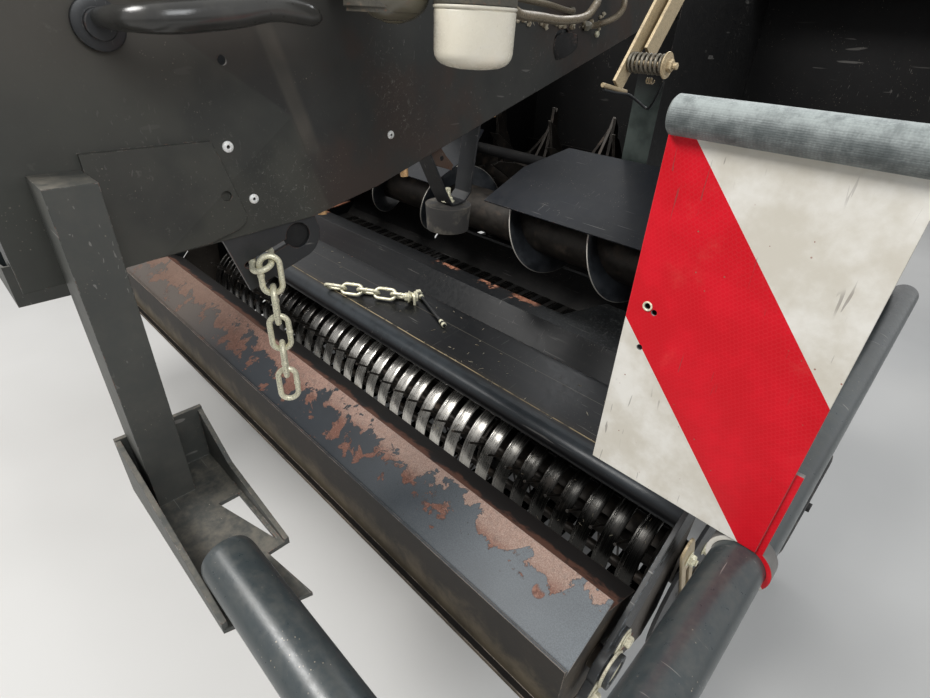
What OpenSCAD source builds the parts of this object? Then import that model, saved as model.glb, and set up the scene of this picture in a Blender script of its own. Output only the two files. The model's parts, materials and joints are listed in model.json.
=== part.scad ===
// Intake section of a large square baler: drawbar root, pickup, press roller and guard plate.
// Origin in the middle of the rear mounting flange, on its rear face. Y points to the rear and
// Z up. X points to the right as seen from the front, the side with the filter. Millimetres.

/* [Header] */
// Clear width between the pickup side plates
header_w = 2380; // [2200:20:2600]
// Thickness of the pickup side plates
side_t = 8; // [6:1:12]
// Gap between a side plate and the guard arm beside it
arm_gap = 16; // [12:1:24]
// Thickness of the guard arms
arm_t = 10; // [8:1:14]

/* [Press roller] */
// Distance from the roller axis to each of its six flats
roller_flat = 118; // [105:1:130]
// How far each plate stands past the next one
roller_lip = 25; // [15:1:32]
// Wall of the folded roller plates
roller_t = 6; // [5:1:8]
// Radius of the roller's stub shafts
roller_shaft_r = 25; // [20:1:30]
// Gap between the roller's end plate and the guard arm
roller_end_gap = 14; // [8:1:20]

/* [Crop guard] */
// Radius of the rounded nose
nose_r = 30; // [24:1:36]
// Thickness of the guard sheet
guard_t = 4; // [3:0.5:6]
// Depth of the flat top behind the nose
guard_flat = 216; // [180:4:260]
// Fall of the flat top towards the nose, in degrees
guard_slope = 5; // [0:1:10]
// Length of the upright rear fold
guard_rise = 85; // [60:5:110]
// Width of the flange on top of the rear fold
guard_flange = 67; // [40:1:90]
// Depth of each corner plate behind the flange
corner_depth = 163; // [120:1:170]

/* [Pickup] */
// Radius over the tine tips
tine_r = 235; // [215:1:245]
// Outer radius of the stripper bands
band_r = 170; // [150:1:180]
// Width of a stripper band
band_w = 42; // [34:1:48]
// Pitch of the bands and tines
band_pitch = 66; // [58:1:76]
// Number of bands
band_n = 34; // [28:1:34]
// Thickness of the bands
band_t = 3; // [2:0.5:5]
// Thickness of a tine
tine_d = 7; // [5:0.5:9]
// Number of tine bars
bar_n = 5; // [4:1:6]
// Radius of the reel's core tube
core_r = 57; // [45:1:70]
// Radius of the reel's stub shafts
reel_shaft_r = 22; // [18:1:28]

/* [Auger] */
// Radius over the auger flights
flight_r = 150; // [130:1:156]
// Radius of the auger tube
auger_tube_r = 80; // [60:1:95]
// Pitch of the flights
flight_pitch = 316; // [260:4:360]
// Thickness of the flights
flight_t = 5; // [4:1:8]
// Bare middle length between the two hands
flight_gap = 140; // [80:10:220]
// Radius of the auger's stub shafts
auger_shaft_r = 28; // [22:1:34]
// Thickness of the auger covers
cover_t = 4; // [3:0.5:6]
// Depth of the auger covers
cover_depth = 384; // [340:4:400]

/* [Feed rotor] */
// Radius over the rotor fingers
rotor_r = 330; // [300:5:336]
// Radius of the rotor tube
rotor_tube_r = 110; // [90:5:140]
// Number of star plates
star_n = 12; // [8:1:14]
// Thickness of a star plate
star_t = 12; // [8:1:16]
// Inner width of the feed channel
channel_w = 1000; // [940:10:1100]
// Thickness of the channel walls
wall_t = 8; // [6:1:12]
// Radius of the rotor's shafts
rotor_shaft_r = 35; // [30:1:45]

/* [Frame] */
// Side of the square cross beam
beam_s = 200; // [160:10:240]
// Wall of the cross beam
beam_t = 10; // [8:1:14]
// Thickness of the outer hangers
hanger_t = 12; // [10:1:16]
// Radius of the pickup pivot pins
pivot_r = 25; // [20:1:30]
// Height of the drawbar side beams
bar_h = 160; // [120:10:200]
// Width of the drawbar side beams
bar_w = 90; // [70:10:120]
// Half width over the drawbar shields
shield_x = 460; // [420:10:500]
// Thickness of the shields
shield_t = 5; // [4:1:6]
// Slope of the drawbar, in degrees
bar_slope = 17.5; // [14:0.5:20]

/* [Guard bow] */
// Outer diameter of the bow tube
bow_d = 80; // [60:2:90]
// Distance from a pickup side plate to the middle of the bow's side tube
bow_gap = 98; // [90:2:130]
// Radius of the bow's bend
bow_bend = 110; // [90:5:140]

/* [Wheels] */
// Outer radius of the gauge tyres
tyre_r = 200; // [180:5:220]
// Width of the gauge tyres
tyre_w = 110; // [90:5:120]

/* [Marker boards] */
// Width of a marker board
board_w = 282; // [240:2:300]
// Height of a marker board
board_h = 564; // [423:3:564]
// Thickness of a marker board
board_t = 3; // [2:0.5:5]

/* [Chain] */
// Wire diameter of the chain
wire_d = 12; // [10:0.5:13]
// Inner length of a link, which is the pitch
link_pitch = 60; // [54:1:66]
// Outer width of a link
link_w = 46; // [42:1:50]
// Number of links in the hanging tail
tail_links = 5; // [3:1:6]

/* [Hidden] */
$fn = 64;
fit = 0.3;
link_step = link_pitch - 0.6;

side_x = header_w / 2;
arm_x = side_x - arm_gap;
roller_x = arm_x - arm_t - roller_end_gap;
hanger_x = side_x + side_t + 8;
bow_x = side_x + bow_gap;
bow_end_x = 760;
board_x = bow_x - 268;

// Places in the Y, Z plane
rotor_at = [-400, -870];
auger_at = [-921, -871];
reel_at = [-1434, -1378];
roller_at = [-1848, -1278];
nose_at = [-1610, -1065];
guard_pivot = [-1180, -990];
cover_front = [-1105, -766];
cover_slope = 22.4;
bow_z = -938;
bow_front_y = -2320;
wheel_at = [-830, -1500];
board_at = [-1770, -897];
bolt_at = [163, -1469];
beam_y = -1130;
band_end = [-790, -1198];

// Ring of tine bars inside the bands
bar_ring = 92;
bar_r = 14;

// Links of the chain on the guard
tie_links = 5;

// Turn from one star plate of the rotor to the next
star_turn = 23;

// Radius of the pins that carry the guard arms
guard_pin_r = 20;

// Front end of the drawbar beams, and the front of the rear tie between them
drawbar_front = -2400;
tie_back_y = -1300;

// How far the round knuckle at a bend stands out over the bars it joins
knuckle = 4;

// Radius of the rubber tube on top of a marker board
trim_r = 23;

// Latch spring: where it starts and its length
spring_x = 741 + fit;
spring_l = 72;

// Underside of the filter head, and the canister's place
filter_z = -230;
filter_at = [747, -1844];

// Lift of the drawbar beams over the shields' lower edge, and their inner faces
bar_lift = 40;
beam_in = shield_x - shield_t - bar_w;

// Holes through a shield: Y, Z and radius
SHIELD_HOLES = [[-2073, -313, 7], [-1241, -275, 22], [-1225, -272, 22], [-1748, -234, 6]];

// Keyhole plate: middle of its hole, then its sizes along the slot
hole_at = [451, -1985, -600];
hole_r = 24;
bracket_r = 46;
bracket_t = 7.4;
slot_w = 11;
slot_l = 108;
held_at = 84;

steel_grey = "#3a3d40";
paint_black = "#1c1e20";

// An outline drawn in the Y, Z plane and pulled along X
module slab(x0, t) {
    translate([x0, 0, 0]) rotate([90, 0, 90]) linear_extrude(t) children();
}

// A round bar along X
module bar_x(x0, x1, r, at) {
    translate([x0, at[0], at[1]]) rotate([0, 90, 0]) cylinder(r = r, h = x1 - x0);
}

// A round bar from one point to another
module rod(a, b, r) {
    way = b - a;
    run = norm(way);
    translate(a) rotate([0, acos(way[2] / run), atan2(way[1], way[0])]) cylinder(r = r, h = run);
}

// The same piece on the left-hand side
module on_side(s) {
    if (s > 0) children();
    else mirror([1, 0, 0]) children();
}

// A sheet of thickness t along a polyline, rounded at its folds
module sheet_line(points, t) {
    for (i = [0 : len(points) - 2]) {
        a = points[i];
        b = points[i + 1];
        run = norm(b - a);
        translate(a) rotate(atan2(b[1] - a[1], b[0] - a[0])) translate([0, -t / 2]) square([run, t]);
    }
    if (len(points) > 2) for (i = [1 : len(points) - 2]) translate(points[i]) circle(d = t);
}

// Main frame

module cross_beam() {
    flange = 300;
    bolt_half = 120;
    color(steel_grey) difference() {
        union() {
            translate([-hanger_x, -beam_s - 20, -beam_s / 2]) cube([2 * hanger_x, beam_s, beam_s]);
            translate([-flange / 2, -20, -flange / 2]) cube([flange, 20, flange]);
        }
        translate([-hanger_x - 1, -beam_s - 20 + beam_t, -beam_s / 2 + beam_t])
            cube([2 * hanger_x + 2, beam_s - 2 * beam_t, beam_s - 2 * beam_t]);
        for (x = [-bolt_half, bolt_half]) for (z = [-bolt_half, bolt_half])
            translate([x, 1, z]) rotate([90, 0, 0]) cylinder(r = 11, h = 22);
    }
}

module hanger(s) {
    top = beam_s / 2;
    back = -20;
    color(steel_grey) on_side(s) {
        difference() {
            slab(hanger_x, hanger_t) polygon([
                [back, top], [back - beam_s, top], [back - beam_s, 0], [-500, -760],
                [-500, -1000], [-300, -1000], [-300, -780], [back, -120]
            ]);
            bar_x(hanger_x - 1, hanger_x + hanger_t + 1, pivot_r, rotor_at);
        }
        bar_x(side_x - 6, hanger_x + hanger_t + 6, pivot_r, rotor_at);
    }
}

module channel_wall(s) {
    color("#4a4d50") on_side(s) difference() {
        slab(channel_w / 2, wall_t) polygon([
            [-20, -beam_s / 2 - fit], [-730, -beam_s / 2 - fit], [-730, -700], [-720, -1100],
            [-640, -1200], [-120, -1200], [-20, -1000]
        ]);
        bar_x(channel_w / 2 - 1, channel_w / 2 + wall_t + 1, rotor_shaft_r + fit, rotor_at);
    }
    color("#4a4d50") on_side(s) translate([channel_w / 2 - 85, -736, -650])
        cube([85 + wall_t, 8, 642 + bar_low(-736)]);
}

// Sheets across the chamber's front: over the channel behind the rotor, and beside it
module chamber_panel() {
    top = -beam_s / 2 - fit;
    side = channel_w / 2 + wall_t + fit;
    color("#33363a") {
        translate([-channel_w / 2 + fit, -34, -900]) cube([channel_w - 2 * fit, 6, 900 + top]);
        for (s = [-1, 1]) on_side(s) translate([side, -34, -720]) cube([hanger_x - fit - side, 6, 720 + top]);
    }
}

module channel_floor() {
    pan_r = rotor_r + 15;
    color("#55585a") translate([-channel_w / 2, rotor_at[0], rotor_at[1]]) rotate([90, 0, 90])
        linear_extrude(channel_w) intersection() {
            difference() {
                circle(r = pan_r + 6);
                circle(r = pan_r);
            }
            polygon([[0, 0], [-600, -500], [-600, -900], [700, -900], [700, 250]]);
        }
}

// Lower edge of the drawbar shield, from the front to the rear
BAR_EDGE = [
    [drawbar_front, -590], [-2143, -579], [-1951, -569], [-1800, -536], [-861, -245], [-220, -46.5]
];

// Height of that edge at the place y
function bar_low(y) = lookup(y, BAR_EDGE);

module drawbar_beam(s) {
    color(paint_black) on_side(s) slab(beam_in, bar_w) polygon(concat(
        [for (p = BAR_EDGE) p + [0, bar_lift]],
        [for (i = [1 : len(BAR_EDGE)]) BAR_EDGE[len(BAR_EDGE) - i] + [0, bar_lift + bar_h]]
    ));
}

// The two cross members between the drawbar beams
module drawbar_ties() {
    depth = 100;
    color(paint_black) for (y = [drawbar_front, tie_back_y])
        translate([-beam_in, y, bar_low(y + depth) + bar_lift + 5]) difference() {
            cube([2 * beam_in, depth, depth]);
            translate([-1, 8, 8]) cube([2 * beam_in + 2, depth - 16, depth - 16]);
        }
}

module side_shield(s) {
    hole = [-2107, -504];
    color("#33363a") on_side(s) {
        difference() {
            slab(shield_x - shield_t, shield_t) polygon(concat(
                BAR_EDGE, [[-220, 180], [-2040, 60], [drawbar_front, -200]]
            ));
            for (p = SHIELD_HOLES) bar_x(shield_x - shield_t - 1, shield_x + 1, p[2], [p[0], p[1]]);
        }
        difference() {
            slab(shield_x - 1, 9) polygon([
                [-2079, -540], [-2083, -552], [-2096, -561], [-2146, -574], [-2288, -583],
                [-2288, -420], [-2115, -420], [-2103, -456]
            ]);
            bar_x(shield_x + 2, shield_x + 9, 8, hole);
        }
    }
}

// Grab handle: a post from the shield with a bent grip across its end
module grab_handle() {
    grip_x = 573;
    post_at = [-2192, -269];
    color(paint_black) {
        bar_x(shield_x, shield_x + 8, 30, post_at);
        bar_x(shield_x + 4, grip_x, 13, post_at);
        rod([grip_x, -2215, -272], [grip_x, -2040, -248], 17);
        rod([grip_x, -2052, -249], [grip_x, -1984, -258], 15);
    }
}

module filter_head() {
    color("#6a6c6e") difference() {
        union() {
            translate([shield_x, -1890, filter_z + 12]) cube([330, 92, 52]);
            translate([filter_at[0], filter_at[1], filter_z]) cylinder(r = 56, h = 16);
            translate([640, -1918, filter_z - 14]) cylinder(r = 48, h = 80);
            translate([640, -1918, filter_z - 8]) cylinder(r = 51, h = 9);
        }
        translate([filter_at[0], filter_at[1], filter_z - 1]) cylinder(r = 30, h = 6);
    }
}

module filter_canister() {
    color("#e9e6da") translate([filter_at[0], filter_at[1], filter_z - fit]) rotate([180, 0, 0])
        rotate_extrude() polygon([
            [0, 0], [55, 0], [57, 2], [57, 8], [54, 11], [54, 58], [51, 66], [44, 71], [0, 75]
        ]);
}

// Oil pipes from the filter head along the shield
module oil_pipes() {
    r = 9;
    nut = 13;
    back = -1890 + 92 + fit;
    inlet = [[740, back, filter_z + 36], [738, -1650, -212], [700, -1480, -222], [700, -1400, -190]];
    outlet = [[690, back, filter_z + 30], [680, -1700, -196], [640, -1560, -196], [600, -1500, -150]];
    color("#7d7a6c") {
        for (path = [inlet, outlet]) {
            rod(path[0] + [0, r, 0], path[1], r);
            for (i = [1 : len(path) - 2]) rod(path[i], path[i + 1], r);
            for (i = [1 : len(path) - 1]) translate(path[i]) sphere(r = r + knuckle);
            translate(path[0]) rotate([-90, 0, 0]) cylinder(r = 15, h = 16, $fn = 6);
            last = path[len(path) - 1];
            end = [last[1] + 30, last[2] + 40];
            rod(last, [shield_x + r, end[0], end[1]], r);
            bar_x(shield_x + fit, shield_x + 2 * r, nut, end);
        }
    }
}

// Keyhole plate hanging under the shield: a round hole with a slot that holds one link
module chain_bracket(s) {
    depth = bracket_r;
    front = 125;
    top = bar_lift - 2 * fit;
    color("#46484a") on_side(s) slab(hole_at[0] - bracket_t / 2, bracket_t)
        translate([hole_at[1], hole_at[2]]) difference() {
            intersection() {
                rotate(bar_slope) union() {
                    circle(r = bracket_r);
                    translate([-front, -depth]) square([front, 3 * depth]);
                    translate([0, 0]) square([bracket_r, 2 * depth]);
                }
                polygon([for (p = concat(
                    [for (e = BAR_EDGE) e + [0, bar_lift - fit]], [[-220, -900], [-2400, -900]]
                )) p - [hole_at[1], hole_at[2]]]);
            }
            circle(r = hole_r);
            rotate(bar_slope) translate([-slot_l, 0]) circle(r = slot_w / 2);
            rotate(bar_slope) translate([-slot_l, -slot_w / 2]) square([slot_l, slot_w]);
        }
}

// Points of one ring of a link's wire, at the step i round its stadium path
function link_ring(i, n, sides) =
    let (
        r = (link_w - wire_d) / 2,
        half = (link_pitch + wire_d) / 2 - r,
        a = i * 360 / n + 180 / n,
        up = (a < 180) ? 1 : -1,
        c = [r * cos(a), half * up + r * sin(a)],
        out = [cos(a), sin(a)]
    )
    [for (k = [0 : sides - 1])
        let (b = k * 360 / sides) [
            c[0] + out[0] * wire_d / 2 * cos(b),
            c[1] + out[1] * wire_d / 2 * cos(b),
            wire_d / 2 * sin(b)
        ]];

// One link, flat in the X, Y plane, its length along Y
module link() {
    n = 16;
    sides = 6;
    points = [for (i = [0 : n - 1]) each link_ring(i, n, sides)];
    faces = [for (i = [0 : n - 1]) for (k = [0 : sides - 1])
        let (i2 = (i + 1) % n, k2 = (k + 1) % sides)
        [i * sides + k, i * sides + k2, i2 * sides + k2, i2 * sides + k]];
    polyhedron(points = points, faces = faces, convexity = 4);
}

// One link held in the keyhole slot, and the chain's tail hanging from its outer end
module tail_chain() {
    turn = 30;
    face = 62;
    bend_r = (link_w - wire_d) / 2;
    straight = (link_pitch + wire_d) / 2 - bend_r;
    held = [hole_at[0] + 12, hole_at[1] - held_at * cos(bar_slope), hole_at[2] - held_at * sin(bar_slope)];
    in_plane = straight * [cos(turn), -sin(turn)] + bend_r * [cos(face), sin(face)];
    lift = wire_d + 6 * fit;
    top = held + [in_plane[0], in_plane[1] * cos(bar_slope) - lift * sin(bar_slope),
        in_plane[1] * sin(bar_slope) + lift * cos(bar_slope)];
    color("#b9b49c") {
        translate(held) rotate([bar_slope, 0, 0]) rotate([0, 0, -90 - turn]) link();
        for (i = [0 : tail_links - 1])
            translate(top - [0, 0, (link_pitch + wire_d) / 2 + i * link_step])
                rotate([90, 0, i % 2 == 0 ? face : face + 90]) link();
    }
}

// Chain bolted on the guard's flat and lying over it to the nose
module tie_chain() {
    heading = 28;
    rest = (link_w - wire_d) / 2 * sin(45) + wire_d / 2 + 2 * fit;
    fall = atan(tan(guard_slope) * sin(heading));
    color("#a9a48c") translate([bolt_at[0], bolt_at[1], guard_top(bolt_at[1]) + rest])
        rotate([0, 0, heading]) rotate([0, -fall, 0]) for (i = [0 : tie_links - 1])
            translate([-26 - i * link_step, 0, 0]) rotate([0, i % 2 == 0 ? 45 : -45, 90]) link();
}

module stop_bracket() {
    front = -1620;
    back = -1490;
    foot = -620;
    color(paint_black) for (s = [-1, 1]) on_side(s) {
        for (x = [380, 430]) slab(x, 8) polygon([
            [back, bar_low(back) + bar_lift - fit], [front, bar_low(front) + bar_lift - fit],
            [-1580, foot], [-1520, foot]
        ]);
        translate([380, -1580, foot - 8]) cube([58, 60, 8]);
    }
}

module stop_rubber() {
    color("#3b3c3e") for (s = [-1, 1]) on_side(s)
        translate([409, -1551, -690]) cylinder(r1 = 52, r2 = 56, h = 61.7);
}

// Latch lever: two flat bars on a shaft, with the rod that carries the spring
module latch_lever() {
    long_x = 735;
    short_x = 752;
    shaft = [-1256, -122];
    rod_at = [-1390, -300];
    color("#b0a788") {
        slab(long_x, 6) translate([-1422, -342]) rotate(53) translate([0, -18]) square([330, 36]);
        slab(short_x, 6) translate([-1352, -287]) rotate(53) translate([0, -21]) square([240, 42]);
        bar_x(shield_x, short_x + 12, 14, shaft);
        bar_x(long_x, 834, 5, rod_at);
        bar_x(spring_x + spring_l + fit, spring_x + spring_l + 5, 20, rod_at);
        translate([spring_x + spring_l + 4, rod_at[0], rod_at[1]]) rotate([0, 90, 0])
            cylinder(r = 10, h = 9, $fn = 6);
    }
}

// Coil of the latch spring, drawn as a sleeve with one rib for each turn
module latch_spring() {
    turns = 9;
    pitch = spring_l / turns;
    outer = [for (i = [0 : turns - 1]) each [[19, i * pitch + 0.3 * pitch], [19, i * pitch + 0.7 * pitch],
        [15.5, i * pitch + pitch]]];
    color("#8f8878") translate([spring_x, -1390, -300]) rotate([0, 90, 0]) rotate_extrude()
        polygon(concat([[5 + fit, spring_l], [5 + fit, 0], [15.5, 0]], outer));
}

// Guard bow, its post and the marker board

module guard_bow(s) {
    r = bow_d / 2;
    back_y = -330;
    color("#2c3338") on_side(s) {
        translate([bow_end_x, bow_front_y, bow_z]) rotate([0, 90, 0])
            cylinder(r = r, h = bow_x - bow_bend - bow_end_x);
        translate([bow_end_x, bow_front_y, bow_z]) intersection() {
            sphere(r = r);
            translate([-12, -r, -r]) cube([12 + r, 2 * r, 2 * r]);
        }
        translate([bow_x - bow_bend, bow_front_y + bow_bend, bow_z]) rotate([0, 0, -90])
            rotate_extrude(angle = 90) translate([bow_bend, 0]) circle(r = r);
        translate([bow_x, back_y, bow_z]) rotate([90, 0, 0])
            cylinder(r = r, h = back_y - bow_front_y - bow_bend);
        translate([hanger_x + hanger_t, -460, bow_z - 30])
            cube([bow_x - hanger_x - hanger_t, 120, 60]);
    }
}

// Post under the drawbar, ending in a fork of two gusset plates that holds the bow's end
module bow_post(s) {
    x0 = shield_x + fit;
    plate_t = 8;
    rim = bow_end_x - 11;
    tip = bow_end_x + 96;
    base = bow_z - bow_d / 2 - fit;
    front = bow_front_y - bow_d / 2 - plate_t - fit;
    back = bow_front_y + bow_d / 2 + 46;
    color(paint_black) on_side(s) {
        translate([x0, bow_front_y - 30, base - plate_t]) cube([80, 60, bow_z + 498 - base + plate_t]);
        translate([0, 0, base - plate_t]) linear_extrude(plate_t) difference() {
            polygon([
                [x0, front], [tip - 34, front], [tip, back - 15], [rim, back - 29],
                [rim, back + plate_t], [x0, back + plate_t]
            ]);
            polygon([[600, back - 6], [rim - 14, back - 6], [600, back - 42]]);
        }
        translate([0, front + plate_t, 0]) rotate([90, 0, 0]) linear_extrude(plate_t) polygon([
            [x0, base - plate_t], [tip - 34, base - plate_t], [tip - 34, base + 14],
            [660, base + 60], [x0, base + 112]
        ]);
        translate([0, back + plate_t, 0]) rotate([90, 0, 0]) linear_extrude(plate_t) polygon([
            [x0, base - plate_t], [rim, base - plate_t], [rim, base + 6], [562, base + 40],
            [x0, base + 112]
        ]);
        translate([x0, front, base - plate_t]) cube([plate_t, back + plate_t - front, 112 + plate_t]);
    }
}

module marker_board(s) {
    color("#c8102e") on_side(s) {
        difference() {
            translate([board_x, board_at[0], board_at[1]]) cube([board_w, board_t, board_h]);
            for (p = [[29, 311], [41, 305], [33, 243]])
                translate([board_x + p[0], board_at[0] - 1, board_at[1] + p[1]]) rotate([-90, 0, 0])
                    cylinder(r = 4.5, h = board_t + 2);
        }
        difference() {
            union() {
                translate([bow_x - 24, board_at[0] + board_t, bow_z + bow_d / 2]) cube([48, 8, 160]);
                translate([bow_x, board_at[0] + board_t + 30, bow_z]) rotate([90, 0, 0])
                    cylinder(r = bow_d / 2 + 8, h = 30);
            }
            translate([bow_x, board_at[0] + board_t + 31, bow_z]) rotate([90, 0, 0])
                cylinder(r = bow_d / 2 + fit, h = 32);
        }
    }
}

module board_trim(s) {
    color("#54575a") on_side(s)
        bar_x(board_x - 3, board_x + board_w + 3, trim_r,
            [board_at[0] + board_t / 2, board_at[1] + board_h + trim_r + fit]);
}

// Pickup

module pickup_side(s) {
    color(paint_black) on_side(s) {
        difference() {
            slab(side_x, side_t) union() {
                polygon([
                    [-1434, -1208], [-1230, -930], [-1130, -930], [-1120, -775], [-1090, -745],
                    [-740, -600], [-690, -640], [-400, -800], [-350, -870], [-400, -940], [-700, -1250],
                    [-1200, -1500],
                    [-1434, -1590]
                ]);
                translate(reel_at) circle(r = 212);
                translate(rotor_at) circle(r = 70);
            }
            bar_x(side_x - 1, side_x + side_t + 1, pivot_r + fit, rotor_at);
            bar_x(side_x - 1, side_x + side_t + 1, reel_shaft_r + fit, reel_at);
            bar_x(side_x - 1, side_x + side_t + 1, auger_shaft_r + fit, auger_at);
        }
        bar_x(arm_x - arm_t - 4, side_x, guard_pin_r, guard_pivot);
    }
}

// Underside of the flat leg of the bands at the place y
function band_low(y) = reel_at[1] + band_r - band_t
    + (y - reel_at[0]) * (band_end[1] - reel_at[1] - band_r) / (band_end[0] - reel_at[0]);

// Sheet under the bands' flat legs, rising behind the auger to the feed channel
module crop_floor() {
    sheet = 3;
    drop = 2.4;
    end_r = rotor_r + 32;
    front = [-1245, band_low(-1245) - drop];
    bend = [-784, band_low(-784) - drop];
    lip = [rotor_at[0] - end_r * cos(40), rotor_at[1] - end_r * sin(40)];
    up = [0, sheet / 2];
    out = sheet / 2 * [-sin(38), cos(38)];
    color("#3a3d40") difference() {
        slab(-side_x, 2 * side_x)
            polygon([front + up, bend + up, lip + out, lip - out, bend - up, front - up]);
        for (s = [-1, 1]) on_side(s) slab(channel_w / 2 - 2, wall_t + 4) translate([-742, -1190])
            square([90, 120]);
    }
}

module pickup_tubes() {
    foot = -1420;
    width = 80;
    wall = 6;
    tall = band_low(beam_y) - 4.3 - foot;
    color(paint_black) {
        difference() {
            translate([-side_x, beam_y, foot]) cube([2 * side_x, width, tall]);
            translate([-side_x - 1, beam_y + wall, foot + wall])
                cube([2 * side_x + 2, width - 2 * wall, tall - 2 * wall]);
        }
        bar_x(-side_x, side_x, 20, cover_front + 300 * [cos(cover_slope), sin(cover_slope)]
            + (20 + fit) * [sin(cover_slope), -cos(cover_slope)]);
    }
}

// One band: a bent strip round the reel with a flat leg to the rear at its top and its foot
module stripper_band() {
    lap = 6;
    step = 0.5;
    lower_leg = (beam_y - 3 * fit - reel_at[0] - band_r * cos(60)) / cos(30);
    upper_leg = band_end[0] - reel_at[0];
    fall = atan2(reel_at[1] + band_r - band_end[1], upper_leg);
    translate(reel_at) {
        difference() {
            circle(r = band_r);
            circle(r = band_r - band_t);
            polygon([[0, 0], [0, 400], [400, 400], [400, -692.8]]);
        }
        translate([0, band_r]) rotate(-fall) translate([-lap, -band_t - step])
            square([lap + upper_leg, band_t + 2 * step]);
        rotate(-60) translate([band_r - band_t - step, -lap])
            square([band_t + 2 * step, lap + lower_leg]);
    }
}

module stripper_bands() {
    first = -(band_n - 1) / 2 * band_pitch - band_w / 2;
    color("#606468") for (i = [0 : band_n - 1]) slab(first + i * band_pitch, band_w) stripper_band();
}

module auger_cover(s) {
    rise = tan(cover_slope);
    color(paint_black) on_side(s) {
        translate([0, cover_front[0], cover_front[1]]) rotate([cover_slope, 0, 0])
            linear_extrude(cover_t) polygon([
                [130, 0], [side_x, 0], [side_x, cover_depth], [210, cover_depth], [130, 220]
            ]);
    }
}

module wheel_arm(s) {
    color(paint_black) on_side(s) {
        slab(side_x + side_t, 10) polygon([
            [-960, -1150], [-860, -1130], [-790, -1500], [-830, -1540], [-870, -1500]
        ]);
        bar_x(side_x + side_t + 10, side_x + side_t + 40 + tyre_w, 15, wheel_at);
    }
}

module gauge_rim(s) {
    x0 = side_x + side_t + 26;
    color("#8a8d90") on_side(s) translate([x0, wheel_at[0], wheel_at[1]]) rotate([0, 90, 0])
        rotate_extrude() polygon([
            [15.3, 0], [40, 0], [40, 30], [95, 30], [95, 5], [105, 0], [105, 10],
            [100, 20], [100, tyre_w - 20], [105, tyre_w - 10], [105, tyre_w], [95, tyre_w - 5],
            [95, 40], [40, 40], [40, 70], [15.3, 70]
        ]);
}

module gauge_tyre(s) {
    x0 = side_x + side_t + 26;
    color("#202122") on_side(s) translate([x0, wheel_at[0], wheel_at[1]]) rotate([0, 90, 0])
        rotate_extrude() polygon([
            [105.3, 10], [120, 0], [165, -4], [190, 10], [tyre_r, 28],
            [tyre_r, tyre_w - 28], [190, tyre_w - 10], [165, tyre_w + 4], [120, tyre_w], [105.3, tyre_w - 10]
        ]);
}

// Reel

// Reel: core tube, spider discs, tine bars and the tines that pass between the bands
module reel() {
    discs = 5;
    disc_t = 6;
    reach = (band_n - 1) / 2 * band_pitch + band_pitch / 2;
    disc_step = (2 * reach - disc_t) / (discs - 1);
    color("#3d3428") {
        bar_x(-side_x + 20, side_x - 20, core_r, reel_at);
        for (s = [-1, 1]) on_side(s) bar_x(side_x - 20, side_x + side_t + 4, reel_shaft_r, reel_at);
        for (i = [0 : discs - 1])
            bar_x(-reach + i * disc_step, -reach + disc_t + i * disc_step, bar_ring + bar_r, reel_at);
        for (k = [0 : bar_n - 1]) {
            turn = k * 360 / bar_n;
            bar_x(-reach, reach, bar_r, reel_at + bar_ring * [cos(turn), sin(turn)]);
            for (i = [0 : band_n - 2])
                translate([(i - (band_n - 2) / 2) * band_pitch, reel_at[0], reel_at[1]])
                    rotate([turn - 90, 0, 0]) translate([0, 0, bar_ring])
                        cylinder(d = tine_d, h = tine_r - bar_ring);
        }
    }
}

// Auger

module auger_tube() {
    color("#3a3530") {
        bar_x(-side_x + 12, side_x - 12, auger_tube_r, auger_at);
        for (s = [-1, 1]) on_side(s) bar_x(side_x - 12, side_x + side_t + 4, auger_shaft_r, auger_at);
    }
}

// Four corners of the flight's section at the step i
function flight_ring(i, per_turn, from) =
    let (
        a = i * 360 / per_turn,
        x = from + i * flight_pitch / per_turn,
        low = (auger_tube_r + fit) / cos(180 / per_turn)
    )
    [
        [x, low * cos(a), low * sin(a)],
        [x, flight_r * cos(a), flight_r * sin(a)],
        [x + flight_t, flight_r * cos(a), flight_r * sin(a)],
        [x + flight_t, low * cos(a), low * sin(a)]
    ];

module flight(from, to) {
    per_turn = 24;
    steps = floor((to - from) / flight_pitch * per_turn);
    points = [for (i = [0 : steps]) each flight_ring(i, per_turn, from)];
    sides = [for (i = [0 : steps - 1]) for (k = [0 : 3])
        let (k2 = (k + 1) % 4, a = 4 * i, b = 4 * (i + 1))
        each [[a + k, a + k2, b + k2], [a + k, b + k2, b + k]]];
    caps = [[0, 3, 2, 1], [4 * steps, 4 * steps + 1, 4 * steps + 2, 4 * steps + 3]];
    polyhedron(points = points, faces = concat(sides, caps), convexity = 12);
}

module auger_flights() {
    color("#2b2c2e") translate([0, auger_at[0], auger_at[1]]) for (s = [-1, 1]) on_side(s)
        flight(flight_gap / 2, side_x - 20);
}

// Crop guard with its press roller

module guard_plate() {
    t = guard_t;
    top = nose_at + [0, nose_r - t / 2];
    back = top + guard_flat * [cos(guard_slope), sin(guard_slope)];
    fold = back + guard_rise * [cos(50), sin(50)];
    tail = fold + [guard_flange, 0];
    x0 = arm_x - arm_t;
    color(paint_black) {
        slab(-x0, 2 * x0) union() {
            difference() {
                translate(nose_at) circle(r = nose_r);
                translate(nose_at) circle(r = nose_r - t);
            }
            sheet_line([top, back, fold, tail], t);
        }
        for (s = [-1, 1]) on_side(s) translate([0, 0, tail[1] - t / 2]) linear_extrude(t) polygon([
            [611, tail[0] - 4], [660, tail[0] - 4 + corner_depth],
            [x0, tail[0] - 4 + corner_depth], [x0, tail[0] - 4]
        ]);
    }
}

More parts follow.
